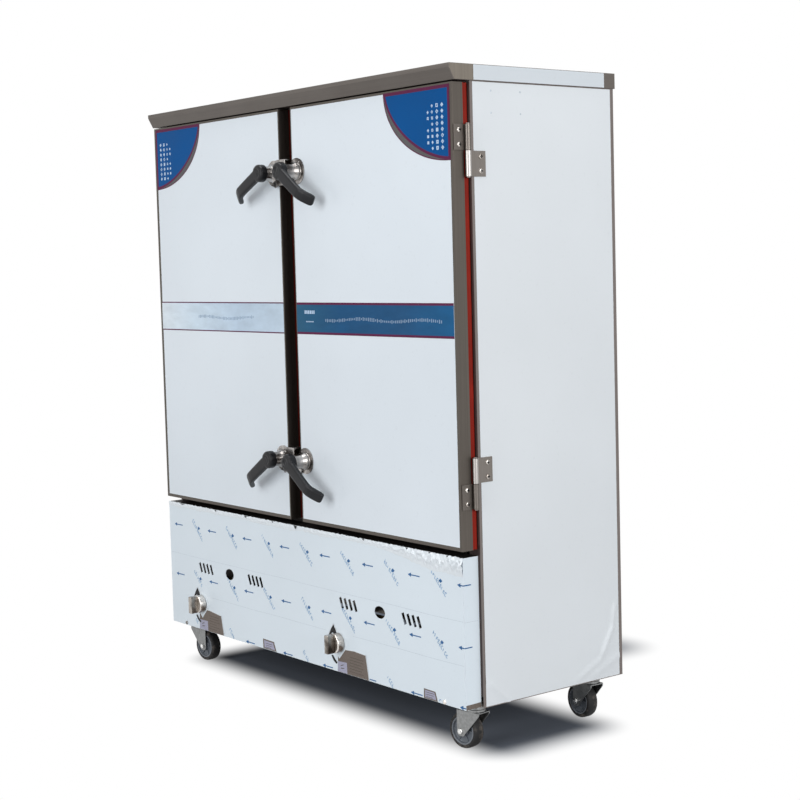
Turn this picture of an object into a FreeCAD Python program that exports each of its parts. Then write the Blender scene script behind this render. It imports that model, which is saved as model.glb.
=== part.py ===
import FreeCAD, Part
import math
import os
import re

import Sketcher

# Gas steam cabinet with two doors, a burner bay below and four swivel casters.
# Millimetres, +Z up, the doors face -Y. The part's origin is on the floor, at the
# middle of the overall box. Positions below are worked from the middle of the
# cabinet in X, from the front frame's face in Y (back is positive) and from the
# floor in Z. Layout.face_y moves that face to its place in the part's frame.

SIZES = {
    # body
    "cabinet_width": 1400,
    "cabinet_depth": 472,
    "cabinet_height": 1648,
    "base_clearance": 118,
    "panel_sheet": 1.2,
    "face_sheet": 1.5,
    "liner_sheet": 1,
    "mating_gap": 0.3,
    "running_gap": 0.05,
    # roof cap
    "cap_overhang": 3,
    "cap_skirt": 38,
    "cap_lip": 10,
    "cornice_reach_low": 49,
    "cornice_reach_high": 64,
    # base frame
    "rail_width": 30,
    "rail_height": 30,
    "angle_sheet": 3,
    "corner_plate_size": 100,
    "corner_plate_thickness": 4,
    "bay_rail_inset": 2,
    # chambers
    "side_wall": 40,
    "mullion_width": 92,
    "rear_wall": 42,
    "chamber_floor_rise": 32,
    "chamber_top_drop": 35,
    "bay_mouth_rise": 8,
    "steam_slot_width": 60,
    "steam_slot_length": 300,
    "steam_slots": 3,
    # tray rails
    "tray_levels": 12,
    "first_tray_height": 40,
    "last_tray_room": 76,
    "runner_width": 20,
    "runner_sheet": 2,
    "runner_end_gap": 15,
    "upright_sheet": 3,
    "upright_width": 20,
    "upright_inset": 40,
    "upright_end_gap": 15,
    # water tank
    "tank_side_gap": 20,
    "tank_rear_gap": 4,
    "tank_height": 120,
    "tank_sheet": 2,
    "tank_setback": 10,
    # doors
    "door_gap": 56,
    "door_side_inset": 6,
    "door_thickness": 33,
    "door_top_gap": 4,
    "bay_height": 385,
    "door_sheet": 1,
    "gasket_width": 14,
    "gasket_thickness": 17,
    "gasket_inset": 0.5,
    # hinges
    "hinge_upper_drop": 158.5,
    "hinge_lower_rise": 160,
    "leaf_height": 60,
    "leaf_sheet": 3,
    "leaf_split": 1.5,
    "door_leaf_start": 48,
    "cabinet_leaf_end": 42,
    "hinge_pin_x": 3,
    "hinge_pin_y": 11,
    "hinge_pin_radius": 3,
    "hinge_pin_head_radius": 5,
    "hinge_pin_head": 2.5,
    "knuckle_radius": 7.5,
    "hinge_bolt_radius": 2.5,
    "hinge_bolt_head_radius": 5.5,
    "hinge_bolt_head": 4,
    "hinge_bolt_spread": 17,
    "door_bolt_setback": 15,
    "cabinet_bolt_setback": 27,
    # latch handles
    "latch_axis_inset": 24,
    "latch_upper_drop": 169,
    "latch_lower_rise": 166,
    "flange_radius": 35,
    "flange_sheet": 3,
    "flange_screw_radius": 2,
    "flange_screw_head_radius": 3.6,
    "flange_screw_head": 2,
    "flange_screw_circle": 27,
    "flange_screw_angle": 60,
    "bushing_radius": 11,
    "bushing_length": 22,
    "bushing_floor": 3,
    "spindle_radius": 6,
    "spindle_end_gap": 2,
    "cam_standoff": 3,
    "cam_thickness": 5,
    "cam_length": 41,
    "cam_width": 14,
    "boss_radius": 19,
    "boss_shoulder_radius": 24,
    "boss_shoulder": 10,
    "hub_back_left": 36,
    "hub_back_right": 43,
    "hub_length": 24,
    "hub_radius": 23.5,
    "hub_socket": 16,
    "hub_socket_gap": 1,
    "hub_bevel": 3,
    "hub_bevel_inset": 4,
    "arm_length": 112,
    "arm_thickness": 14,
    "arm_width_root": 31,
    "arm_width_tip": 28,
    "arm_bend_setback": 4,
    "tip_run": 36,
    "tip_drop": 27,
    "tip_undercut": 7,
    "tip_shoulder": 9,
    "tip_nose": 2,
    "tip_chamfer": 5,
    "droop_upper_left": 26,
    "droop_upper_right": 35,
    "droop_lower_left": 32,
    "droop_lower_right": 36,
    # latch keepers
    "keeper_height": 68,
    "keeper_foot_width": 40,
    "keeper_foot_sheet": 3,
    "keeper_stem_sheet": 8,
    "keeper_head_width": 40,
    "keeper_head_sheet": 3,
    "keeper_return": 18,
    "keeper_head_gap": 3,
    # burner cover
    "cover_side_inset": 9,
    "cover_reach": 48,
    "cover_foot_gap": 1,
    "cover_top_gap": 16,
    "sight_hole_rise": 6,
    "sight_hole_half_width": 22,
    "sight_hole_half_height": 16,
    "vent_inner_spread": 136,
    "vent_outer_spread": 130,
    "vent_slots": 4,
    "vent_pitch": 20,
    "vent_slot_width": 11,
    "vent_slot_length": 30,
    "vent_slant": 22,
    "cover_screw_inset": 80,
    "cover_screw_rise": 7,
    "cover_screw_radius": 3,
    "cover_screw_head_radius": 5.5,
    "cover_screw_head": 4,
    "cover_screw_length": 10,
    # gas train
    "valve_left_offset": 160,
    "valve_right_offset": 182,
    "valve_rise": 80,
    "valve_window": 58,
    "valve_body_width": 28,
    "valve_body_height": 36,
    "valve_body_depth": 30,
    "valve_body_front": 40,
    "valve_stem_radius": 4,
    "valve_stem_depth": 12,
    "knob_radius": 26,
    "knob_disc": 20,
    "knob_dome": 2,
    "knob_dome_inset": 2,
    "knob_gap": 1,
    "grip_height": 50,
    "grip_width": 16,
    "grip_depth": 22,
    "manifold_radius": 11,
    "manifold_y": 8,
    "manifold_side_inset": 91,
    "manifold_right_end": 40,
    "boss_pipe_radius": 9,
    "gas_inlet_radius": 10.5,
    "pipe_wall": 3,
    "feed_radius": 6,
    "jet_radius": 5,
    "jet_gap": 4,
    # burners
    "burner_offset": 5,
    "burner_y": 210,
    "burner_radius": 110,
    "burner_height": 36,
    "burner_rise": 182,
    "burner_core_radius": 55,
    "burner_core_drop": 30,
    "burner_core_wall": 15,
    "burner_core_floor": 10,
    "venturi_radius": 18,
    "venturi_wall": 6,
    "venturi_mouth_y": 46,
    "venturi_stop": 61,
    "horn_flare": 8,
    "horn_length": 20,
    "burner_leg_size": 16,
    "burner_leg_spread": 90,
    # water fittings and flue, at the back
    "fitting_inset": 100,
    "water_inlet_drop": 54,
    "water_inlet_radius": 10.5,
    "drain_rise": 26,
    "drain_offset": 90,
    "drain_radius": 13.2,
    "fitting_reach": 30,
    "fitting_inner_reach": 1,
    "fitting_hex_radius": 17,
    "fitting_hex": 8,
    "flue_width": 320,
    "flue_height": 170,
    "flue_rise": 112,
    "flue_projection": 40,
    "flue_window_height": 90,
    "flue_window_inset": 10,
    # casters
    "caster_side_inset": 42.8,
    "caster_front_inset": 67.8,
    "caster_rear_inset": 60.8,
    "plate_size": 70,
    "plate_sheet": 3,
    "raceway_radius": 24,
    "raceway_height": 10,
    "kingpin_radius": 5,
    "kingpin_head_radius": 9,
    "kingpin_head": 3,
    "crown_height": 7,
    "fork_sheet": 3,
    "fork_inner_width": 36,
    "fork_heel": 26,
    "fork_toe": 13,
    "fork_shoulder": 8,
    "fork_corner_drop": 6,
    "fork_corner": 5,
    "trail": 33,
    "wheel_radius": 45,
    "wheel_width": 32,
    "tyre_wall": 10,
    "tyre_shoulder": 5,
    "tread_edge_drop": 1.5,
    "tread_edge_width": 3,
    "tread_start": 8,
    "hub_width": 30,
    "hub_dish": 5,
    "hub_boss_radius": 11,
    "hub_boss_proud": 2,
    "rim_lip": 2,
    "rim_slope": 2,
    "axle_radius": 4,
    "axle_nut_radius": 7.5,
    "axle_nut": 5,
    "swivel_front_right": 188,
    "swivel_front_left": 5,
    "swivel_rear_right": 176,
    "swivel_rear_left": 25,
    "plate_bolt_radius": 3,
    "plate_bolt_head_radius": 6,
    "plate_bolt_head": 4,
    "plate_bolt_spread": 26,
}

LAYOUT = {
    "half_width": "cabinet_width / 2",
    "panel_half": "half_width - panel_sheet",
    "door_back": "gasket_thickness",
    "door_front": "gasket_thickness + door_thickness",
    "hub_start_left": "door_front + hub_back_left",
    "hub_start_right": "door_front + hub_back_right",
    "hub_front_left": "hub_start_left + hub_length",
    "hub_front_right": "hub_start_right + hub_length",
    "front_reach": "hub_front_right",
    "rear_reach": "cabinet_depth + flue_projection",
    "face_y": "(front_reach - rear_reach) / 2",
    "panel_top": "cabinet_height - panel_sheet",
    "cap_bottom": "cabinet_height - cap_skirt",
    "mullion_half": "mullion_width / 2",
    "opening_outer": "half_width - side_wall",
    "liner_back": "cabinet_depth - rear_wall",
    "door_bottom": "base_clearance + bay_height",
    "door_top": "cap_bottom - door_top_gap",
    "chamber_floor_z": "door_bottom + chamber_floor_rise",
    "chamber_top_z": "cap_bottom - chamber_top_drop",
    "chamber_height": "chamber_top_z - chamber_floor_z",
    "chamber_width": "opening_outer - mullion_half",
    "tray_pitch": "(chamber_height - first_tray_height - last_tray_room) / (tray_levels - 1)",
    "runner_length": "liner_back - 2 * runner_end_gap",
    "upright_height": "chamber_height - 2 * upright_end_gap",
    "door_inner": "door_gap / 2",
    "door_outer": "half_width - door_side_inset",
    "hinge_upper_z": "door_top - hinge_upper_drop",
    "hinge_lower_z": "door_bottom + hinge_lower_rise",
    "latch_upper_z": "door_top - latch_upper_drop",
    "latch_lower_z": "door_bottom + latch_lower_rise",
    "pin_x": "half_width + hinge_pin_x",
    "latch_x": "door_inner + latch_axis_inset",
    "cam_back": "door_front + flange_sheet + cam_standoff",
    "cam_front": "cam_back + cam_thickness",
    "keeper_head_back": "cam_front + keeper_head_gap",
    "cover_half": "half_width - cover_side_inset",
    "cover_bottom_z": "base_clearance + cover_foot_gap",
    "cover_top_z": "door_bottom - cover_top_gap",
    "bay_mouth_top_z": "cover_top_z + bay_mouth_rise",
    "burner_x": "mullion_half + chamber_width / 2 + burner_offset",
    "burner_z": "base_clearance + burner_rise",
    "mixing_z": "burner_z - burner_core_drop / 2",
    "sight_hole_z": "burner_z + sight_hole_rise",
    "vent_inner_x": "burner_x - vent_inner_spread",
    "vent_outer_x": "burner_x + vent_outer_spread",
    "cover_screw_x": "cover_half - cover_screw_inset",
    "cover_screw_z": "base_clearance + cover_screw_rise",
    "valve_left_x": "-burner_x - valve_left_offset",
    "valve_right_x": "burner_x - valve_right_offset",
    "valve_z": "base_clearance + valve_rise",
    "manifold_left_x": "cover_half - manifold_side_inset",
    "rail_top": "base_clearance + rail_height",
    "rail_half": "cover_half - panel_sheet - bay_rail_inset",
    "rail_front": "cover_reach - panel_sheet - bay_rail_inset / 2",
    "crown_top": "base_clearance - plate_sheet - raceway_height - mating_gap",
    "fork_top": "crown_top - crown_height",
    "rear_inner": "cabinet_depth - panel_sheet",
    "caster_x": "rail_half - caster_side_inset",
    "caster_front_y": "caster_front_inset - rail_front",
    "caster_rear_y": "rear_inner - caster_rear_inset",
    "tank_half": "opening_outer - tank_side_gap",
    "tank_back": "liner_back - tank_rear_gap",
    "tank_top": "chamber_floor_z - liner_sheet",
    "tank_bottom": "tank_top - tank_height",
    "fitting_x": "tank_half - fitting_inset",
    "water_inlet_z": "tank_top - water_inlet_drop",
    "drain_x": "fitting_x - drain_offset",
    "drain_z": "tank_bottom + drain_rise",
    "flue_bottom_z": "base_clearance + flue_rise",
    "fork_leg": "fork_inner_width / 2",
}

doc = FreeCAD.newDocument("gas_steamer")


def qualified(text):
    """Name the sheet that holds each size in an expression."""
    def owner(match):
        word = match.group(0)
        if word in SIZES:
            return "Sizes." + word
        if word in LAYOUT:
            return "Layout." + word
        return word
    return re.sub(r"[a-z_][a-z0-9_]*", owner, text)


def fill_sheet(name, rows, formulas):
    sheet = doc.addObject("Spreadsheet::Sheet", name)
    for row, (alias, value) in enumerate(rows.items(), start=1):
        sheet.set(f"A{row}", alias)
        sheet.setAlias(f"B{row}", alias)
        sheet.set(f"B{row}", "=" + formulas(value) if formulas else str(value))
    doc.recompute()
    return sheet


sizes = fill_sheet("Sizes", SIZES, None)
layout = fill_sheet("Layout", LAYOUT, lambda text: re.sub(
    r"[a-z_][a-z0-9_]*", lambda m: "Sizes." + m.group(0) if m.group(0) in SIZES else m.group(0), text))


def value(text):
    """The present value of an expression in the named sizes."""
    return float(sizes.evalExpression(qualified(text)))


def bind(obj, prop, text):
    obj.setExpression(prop, qualified(text))


def place(obj, at, axis=(0, 0, 1), angle=None):
    """Bind an object's position, and its turn about an axis, to the sizes."""
    if angle is not None:
        start = FreeCAD.Rotation(FreeCAD.Vector(*axis), 1)
        obj.Placement = FreeCAD.Placement(FreeCAD.Vector(), start)
        bind(obj, "Placement.Rotation.Angle", angle)
    bind(obj, "Placement.Base.x", at[0])
    bind(obj, "Placement.Base.y", at[1])
    bind(obj, "Placement.Base.z", at[2])
    return obj


def from_face(y):
    return f"face_y + {y}"


def label(obj, name):
    obj.Label = name
    return obj


# Solids in the cabinet's own positions


def box(low, high):
    """A block between two corners, each a triple of expressions."""
    block = doc.addObject("Part::Box", "block")
    for prop, a, b in zip(("Length", "Width", "Height"), low, high):
        bind(block, prop, f"({b}) - ({a})")
    return place(block, (low[0], from_face(f"({low[1]})"), low[2]))


def local_box(low, high):
    """A block in a piece's own frame."""
    block = doc.addObject("Part::Box", "block")
    for prop, a, b in zip(("Length", "Width", "Height"), low, high):
        bind(block, prop, f"({b}) - ({a})")
    return place(block, low)


TURNS = {"x": ((0, 1, 0), "90"), "y": ((1, 0, 0), "270"), "z": ((0, 0, 1), None)}


def rod(axis, radius, length, start, local=False):
    """A cylinder that runs from start along +axis."""
    cylinder = doc.addObject("Part::Cylinder", "rod")
    bind(cylinder, "Radius", radius)
    bind(cylinder, "Height", length)
    about, angle = TURNS[axis]
    y = start[1] if local else from_face(f"({start[1]})")
    return place(cylinder, (start[0], y, start[2]), about, angle)


def cone(axis, radius, radius_end, length, start, local=False):
    """A tapered round that runs from start along +axis."""
    taper = doc.addObject("Part::Cone", "taper")
    bind(taper, "Radius1", radius)
    bind(taper, "Radius2", radius_end)
    bind(taper, "Height", length)
    about, angle = TURNS[axis]
    y = start[1] if local else from_face(f"({start[1]})")
    return place(taper, (start[0], y, start[2]), about, angle)


def ball(radius, centre):
    sphere = doc.addObject("Part::Sphere", "ball")
    bind(sphere, "Radius", radius)
    return place(sphere, (centre[0], from_face(f"({centre[1]})"), centre[2]))


def fuse(pieces):
    if len(pieces) == 1:
        return pieces[0]
    whole = doc.addObject("Part::MultiFuse", "whole")
    whole.Shapes = pieces
    whole.Refine = True
    return whole


def cut(base, tools):
    result = doc.addObject("Part::Cut", "cut")
    result.Base = base
    result.Tool = fuse(tools)
    return result


def common(base, tool):
    result = doc.addObject("Part::Common", "common")
    result.Base = base
    result.Tool = tool
    return result


def group(pieces):
    """Separate solids of one kind that share a node."""
    together = doc.addObject("Part::Compound", "group")
    together.Links = pieces
    return together


def outline(sketch, points):
    """Close a polygon through points given as pairs of expressions."""
    corners = [(value(u), value(v)) for u, v in points]
    count = len(corners)
    for i in range(count):
        a, b = corners[i], corners[(i + 1) % count]
        sketch.addGeometry(Part.LineSegment(FreeCAD.Vector(*a, 0), FreeCAD.Vector(*b, 0)))
    for i in range(count):
        sketch.addConstraint(Sketcher.Constraint("Coincident", i, 2, (i + 1) % count, 1))
    for i, pair in enumerate(points):
        for kind, text, now in zip(("DistanceX", "DistanceY"), pair, corners[i]):
            row = sketch.addConstraint(Sketcher.Constraint(kind, i, 1, now))
            bind(sketch, f"Constraints[{row}]", text)


def body_sketch(body, name, plane, points):
    sketch = body.newObject("Sketcher::SketchObject", name)
    support = [f for f in body.Origin.OriginFeatures if f.Role == plane][0]
    sketch.AttachmentSupport = (support, [""])
    sketch.MapMode = "FlatFace"
    outline(sketch, points)
    return sketch


def prism(name, plane, points, length, symmetric=False, flip=False):
    """A body padded from one closed outline."""
    body = doc.addObject("PartDesign::Body", name)
    sketch = body_sketch(body, name + "_outline", plane, points)
    pad = body.newObject("PartDesign::Pad", name + "_pad")
    pad.Profile = sketch
    pad.Reversed = flip
    if symmetric:
        pad.SideType = "Symmetric"
    bind(pad, "Length", length)
    sketch.Visibility = False
    return body


def turned(name, points):
    """A body turned about its own Z axis from an outline of radius and height pairs."""
    body = doc.addObject("PartDesign::Body", name)
    sketch = body_sketch(body, name + "_outline", "XZ_Plane", points)
    spin = body.newObject("PartDesign::Revolution", name + "_spin")
    spin.Profile = sketch
    spin.ReferenceAxis = (sketch, ["V_Axis"])
    spin.Angle = 360
    return body


def mirrored_x(pair):
    """An X span on the right side, or its mirror on the left."""
    low, high = pair
    return {"right": (low, high), "left": (f"-({high})", f"-({low})")}


SIDES = ("left", "right")
SIGN = {"left": "-1", "right": "1"}


# Body shells


def hinge_leaf_span(level, owner):
    """Lowest and highest Z of one hinge leaf: the door's leaves are the outer ones."""
    middle = f"hinge_{level}_z"
    above = (level == "upper") == (owner == "door")
    if above:
        return f"{middle} + leaf_split / 2", f"{middle} + leaf_split / 2 + leaf_height"
    return f"{middle} - leaf_split / 2 - leaf_height", f"{middle} - leaf_split / 2"


def leaf_bolt_spots(owner):
    """Y and Z of each bolt through the leaves of one owner on one side."""
    y = "-door_leaf_start + door_bolt_setback" if owner == "door" else "cabinet_bolt_setback"
    spots = []
    for level in ("upper", "lower"):
        low, high = hinge_leaf_span(level, owner)
        spots += [(y, f"({low} + {high}) / 2 {way} hinge_bolt_spread") for way in "-+"]
    return spots


def side_panel(side):
    x = mirrored_x(("panel_half", "half_width"))[side]
    sheet = box((x[0], "0", "base_clearance"), (x[1], "cabinet_depth", "panel_top"))
    holes = [rod("x", "hinge_bolt_radius + running_gap", "panel_sheet + 2", (f"{x[0]} - 1", y, z))
             for y, z in leaf_bolt_spots("cabinet")]
    label(cut(sheet, holes), f"{side}_side_panel")


def rear_panel():
    sheet = box(("-panel_half", "rear_inner", "base_clearance"), ("panel_half", "cabinet_depth", "panel_top"))
    inset, low = "flue_window_inset", "flue_bottom_z + flue_window_inset"
    window = box((f"-flue_width / 2 + {inset}", "rear_inner - 1", low),
                 (f"flue_width / 2 - {inset}", "cabinet_depth + 1", f"{low} + flue_window_height"))
    pipes = [rod("y", f"{r} + running_gap", "panel_sheet + 2", (x, "rear_inner - 1", z))
             for r, x, z in (("manifold_radius", "-manifold_left_x", "valve_z"),
                             ("water_inlet_radius", "fitting_x", "water_inlet_z"),
                             ("drain_radius", "drain_x", "drain_z"))]
    label(cut(sheet, [window] + pipes), "rear_panel")


def roof_cap():
    """A folded pan with a cornice that leans out over the doors."""
    low, high = "cap_bottom", "cabinet_height"
    back = "cabinet_depth + cap_overhang + panel_sheet"
    outer = prism("cap_outer", "YZ_Plane",
                  [("-cornice_reach_low", low), (back, low), (back, high), ("-cornice_reach_high", high),
                   ("-cornice_reach_high", f"{high} - cap_lip")],
                  "cabinet_width + 2 * cap_overhang", symmetric=True)
    fold = "panel_sheet"
    inner = prism("cap_inner", "YZ_Plane",
                  [(f"-cornice_reach_low + {fold}", f"{low} + {fold}"), ("0", f"{low} + {fold}"),
                   ("0", f"{low} - 5"), (f"{back} - {fold}", f"{low} - 5"),
                   (f"{back} - {fold}", f"{high} - {fold}"),
                   (f"-cornice_reach_high + {fold}", f"{high} - {fold}"),
                   (f"-cornice_reach_high + {fold}", f"{high} - cap_lip")],
                  f"cabinet_width + 2 * cap_overhang - 2 * {fold}", symmetric=True)
    for half in (outer, inner):
        place(half, ("0", "face_y", "0"))
    label(cut(outer, [inner]), "roof_cap")


def front_frame():
    """One plate with the two chamber mouths and the burner bay cut out of it."""
    sheet = box(("-panel_half", "0", "rail_top"), ("panel_half", "face_sheet", "panel_top"))
    openings = [box(("-opening_outer", "-1", "rail_top - 1"),
                    ("opening_outer", "face_sheet + 1", "bay_mouth_top_z"))]
    for side in SIDES:
        x = mirrored_x(("mullion_half", "opening_outer"))[side]
        openings.append(box((x[0], "-1", "chamber_floor_z"), (x[1], "face_sheet + 1", "chamber_top_z")))
    label(cut(sheet, openings), "front_frame")


def chamber_liner(side):
    """A welded box, open at the front, with steam slots in its floor."""
    x = mirrored_x(("mullion_half", "opening_outer"))[side]
    shell = box((f"{x[0]} - liner_sheet", "face_sheet", "chamber_floor_z - liner_sheet"),
                (f"{x[1]} + liner_sheet", "liner_back + liner_sheet", "chamber_top_z + liner_sheet"))
    room = box((x[0], "face_sheet - 1", "chamber_floor_z"), (x[1], "liner_back", "chamber_top_z"))
    slots = []
    for i in range(int(value("steam_slots"))):
        middle = f"({x[0]}) + chamber_width * ({i} + 0.5) / steam_slots"
        y = "(liner_back - steam_slot_length) / 2"
        slots.append(box((f"{middle} - steam_slot_width / 2", y, "chamber_floor_z - liner_sheet - 1"),
                         (f"{middle} + steam_slot_width / 2", f"{y} + steam_slot_length",
                          "chamber_floor_z + 1")))
    label(cut(shell, [room] + slots), f"{side}_chamber_liner")


def foam_insulation():
    block = box(("-panel_half", "face_sheet", "chamber_floor_z - liner_sheet"),
                ("panel_half", "rear_inner", "panel_top"))
    rooms = []
    for side in SIDES:
        x = mirrored_x(("mullion_half - liner_sheet", "opening_outer + liner_sheet"))[side]
        rooms.append(box((x[0], "face_sheet - 1", "chamber_floor_z - liner_sheet - 1"),
                         (x[1], "liner_back + liner_sheet", "chamber_top_z + liner_sheet")))
    label(cut(block, rooms), "foam_insulation")


def tray_rails():
    """Four ladders of runners, one on each side wall of each chamber."""
    ladders = []
    walls = [("mullion_half", 1), ("opening_outer", -1), ("-mullion_half", -1), ("-opening_outer", 1)]
    front = "(liner_back - runner_length) / 2"
    for wall, way in walls:
        def span(width):
            ends = (wall, f"{wall} + {way} * {width}")
            return ends if way > 0 else ends[::-1]
        bars = []
        for y in (f"{front} + upright_inset", f"{front} + runner_length - upright_inset - upright_width"):
            x = span("upright_sheet")
            z = "chamber_floor_z + (chamber_height - upright_height) / 2"
            bars.append(box((x[0], y, z), (x[1], f"{y} + upright_width", f"{z} + upright_height")))
        for level in range(int(value("tray_levels"))):
            x = span("runner_width")
            z = f"chamber_floor_z + first_tray_height + {level} * tray_pitch"
            bars.append(box((x[0], front, z), (x[1], f"{front} + runner_length", f"{z} + runner_sheet")))
        ladders.append(fuse(bars))
    label(group(ladders), "tray_rails")


def base_frame():
    """Welded angle rails with cross members under the burners and corner plates for the casters."""
    low, high, leg = "base_clearance", "rail_top", "rail_top - angle_sheet"
    rails = [
        box(("-rail_half", "-rail_front", low), ("rail_half", "-rail_front + angle_sheet", high)),
        box(("-rail_half", "-rail_front", leg), ("rail_half", "-rail_front + rail_width", high)),
        box(("-panel_half", "rear_inner - angle_sheet", low), ("panel_half", "rear_inner", high)),
        box(("-panel_half", "rear_inner - rail_width", leg), ("panel_half", "rear_inner", high)),
    ]
    for side in SIDES:
        x = mirrored_x(("rail_half - angle_sheet", "rail_half"))[side]
        rails.append(box((x[0], "-rail_front", low), (x[1], "rear_inner", high)))
        x = mirrored_x(("rail_half - rail_width", "rail_half"))[side]
        rails.append(box((x[0], "-rail_front", leg), (x[1], "face_sheet", high)))
        x = mirrored_x(("rail_half - rail_width", "panel_half"))[side]
        rails.append(box((x[0], "face_sheet", leg), (x[1], "rear_inner", high)))
    for middle in ("-burner_x", "0", "burner_x"):
        rails.append(box((f"{middle} - angle_sheet / 2", "-rail_front", low),
                         (f"{middle} + angle_sheet / 2", "rear_inner", high)))
        rails.append(box((f"{middle} - rail_width / 2", "-rail_front", leg),
                         (f"{middle} + rail_width / 2", "rear_inner", high)))
    for side in SIDES:
        x = mirrored_x(("rail_half - corner_plate_size", "rail_half"))[side]
        for start, end in (("-rail_front", "-rail_front + corner_plate_size"),
                           ("rear_inner - corner_plate_size", "rear_inner")):
            rails.append(box((x[0], start, low), (x[1], end, f"{low} + corner_plate_thickness")))
    holes = [rod("y", "cover_screw_radius + running_gap", "cover_screw_length + 2",
                 (x, "-rail_front - 1", "cover_screw_z")) for x in ("-cover_screw_x", "cover_screw_x")]
    holes += [rod("z", "plate_bolt_radius + running_gap", "corner_plate_thickness + 2",
                  (x, y, "base_clearance - 1")) for x, y in plate_bolt_centres()]
    label(cut(fuse(rails), holes), "base_frame")


# Burner bay


def water_tank():
    wall = "tank_sheet"
    outer = box(("-tank_half", "tank_setback", "tank_bottom"), ("tank_half", "tank_back", "tank_top"))
    inner = box((f"-tank_half + {wall}", f"tank_setback + {wall}", f"tank_bottom + {wall}"),
                (f"tank_half - {wall}", f"tank_back - {wall}", "tank_top + 1"))
    holes = [rod("y", f"{r} + running_gap", "tank_sheet + 2", (x, "tank_back - tank_sheet - 1", z))
             for r, x, z in (("water_inlet_radius", "fitting_x", "water_inlet_z"),
                             ("drain_radius", "drain_x", "drain_z"))]
    label(cut(outer, [inner] + holes), "water_tank")


def water_fittings():
    """Inlet and drain stubs that run from inside the tank through the rear panel."""
    start = "tank_back - tank_sheet - fitting_inner_reach"
    stubs = []
    for radius, x, z in (("water_inlet_radius", "fitting_x", "water_inlet_z"),
                         ("drain_radius", "drain_x", "drain_z")):
        end = "cabinet_depth + fitting_reach"
        pipe = rod("y", radius, f"{end} - ({start})", (x, start, z))
        collar = rod("y", "fitting_hex_radius", "fitting_hex", (x, "cabinet_depth", z))
        bore = rod("y", f"{radius} - pipe_wall", f"{end} - ({start}) + 2", (x, f"{start} - 1", z))
        stubs.append(cut(fuse([pipe, collar]), [bore]))
    label(group(stubs), "water_fittings")


def flue_outlet():
    """A hood over the exhaust window, open at the top."""
    low, high = "flue_bottom_z", "flue_bottom_z + flue_height"
    wall, back = "panel_sheet", "cabinet_depth + flue_projection"
    outer = box(("-flue_width / 2", "cabinet_depth", low), ("flue_width / 2", back, high))
    inner = box((f"-flue_width / 2 + {wall}", "cabinet_depth - 1", f"{low} + {wall}"),
                (f"flue_width / 2 - {wall}", f"{back} - {wall}", f"{high} + 1"))
    label(cut(outer, [inner]), "flue_outlet")


def burners():
    """Round cast burners, each with a mixing tube to the front and legs on its cross member."""
    castings = []
    for x in ("-burner_x", "burner_x"):
        head = rod("z", "burner_radius", "burner_height", (x, "burner_y", "burner_z"))
        core = rod("z", "burner_core_radius", "burner_core_drop",
                   (x, "burner_y", "burner_z - burner_core_drop"))
        mouth = (x, "venturi_mouth_y", "mixing_z")
        tube = rod("y", "venturi_radius", "burner_y - venturi_mouth_y", mouth)
        horn = cone("y", "venturi_radius + horn_flare", "venturi_radius", "horn_length", mouth)
        throat = rod("y", "venturi_radius - venturi_wall", "burner_y - venturi_stop - venturi_mouth_y + 1",
                     (x, "venturi_mouth_y - 1", "mixing_z"))
        well = rod("z", "burner_core_radius - burner_core_wall", "burner_height",
                   (x, "burner_y", "burner_z + burner_core_floor"))
        half = "burner_leg_size / 2"
        legs = []
        for way in "-+":
            middle = f"burner_y {way} burner_leg_spread"
            legs.append(box((f"{x} - {half}", f"{middle} - {half}", "rail_top"),
                            (f"{x} + {half}", f"{middle} + {half}", "burner_z + 1")))
        castings.append(cut(fuse([head, core, tube, horn] + legs), [throat, well]))
    label(group(castings), "burners")


def gas_manifold():
    """A bar behind the valves with an elbow and an inlet pipe to the back."""
    z = "valve_z"
    start = "-manifold_left_x"
    bar = rod("x", "manifold_radius", "manifold_left_x + valve_right_x + manifold_right_end",
              (start, "manifold_y", z))
    elbow = ball("manifold_radius", (start, "manifold_y", z))
    run = rod("y", "manifold_radius", "cabinet_depth - manifold_y", (start, "manifold_y", z))
    collar = rod("y", "fitting_hex_radius", "fitting_hex", (start, "cabinet_depth", z))
    inlet = rod("y", "gas_inlet_radius", "fitting_reach", (start, "cabinet_depth", z))
    bosses = [rod("y", "boss_pipe_radius", "manifold_y + valve_body_front - valve_body_depth",
                  (x, "-valve_body_front + valve_body_depth", z)) for x in ("valve_left_x", "valve_right_x")]
    bore = "manifold_radius - pipe_wall"
    bores = [rod("y", bore, "cabinet_depth + fitting_reach + 1 - manifold_y", (start, "manifold_y", z)),
             rod("x", bore, "manifold_left_x + valve_right_x", (start, "manifold_y", z))]
    label(cut(fuse([bar, elbow, run, collar, inlet] + bosses), bores), "gas_manifold")


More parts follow.
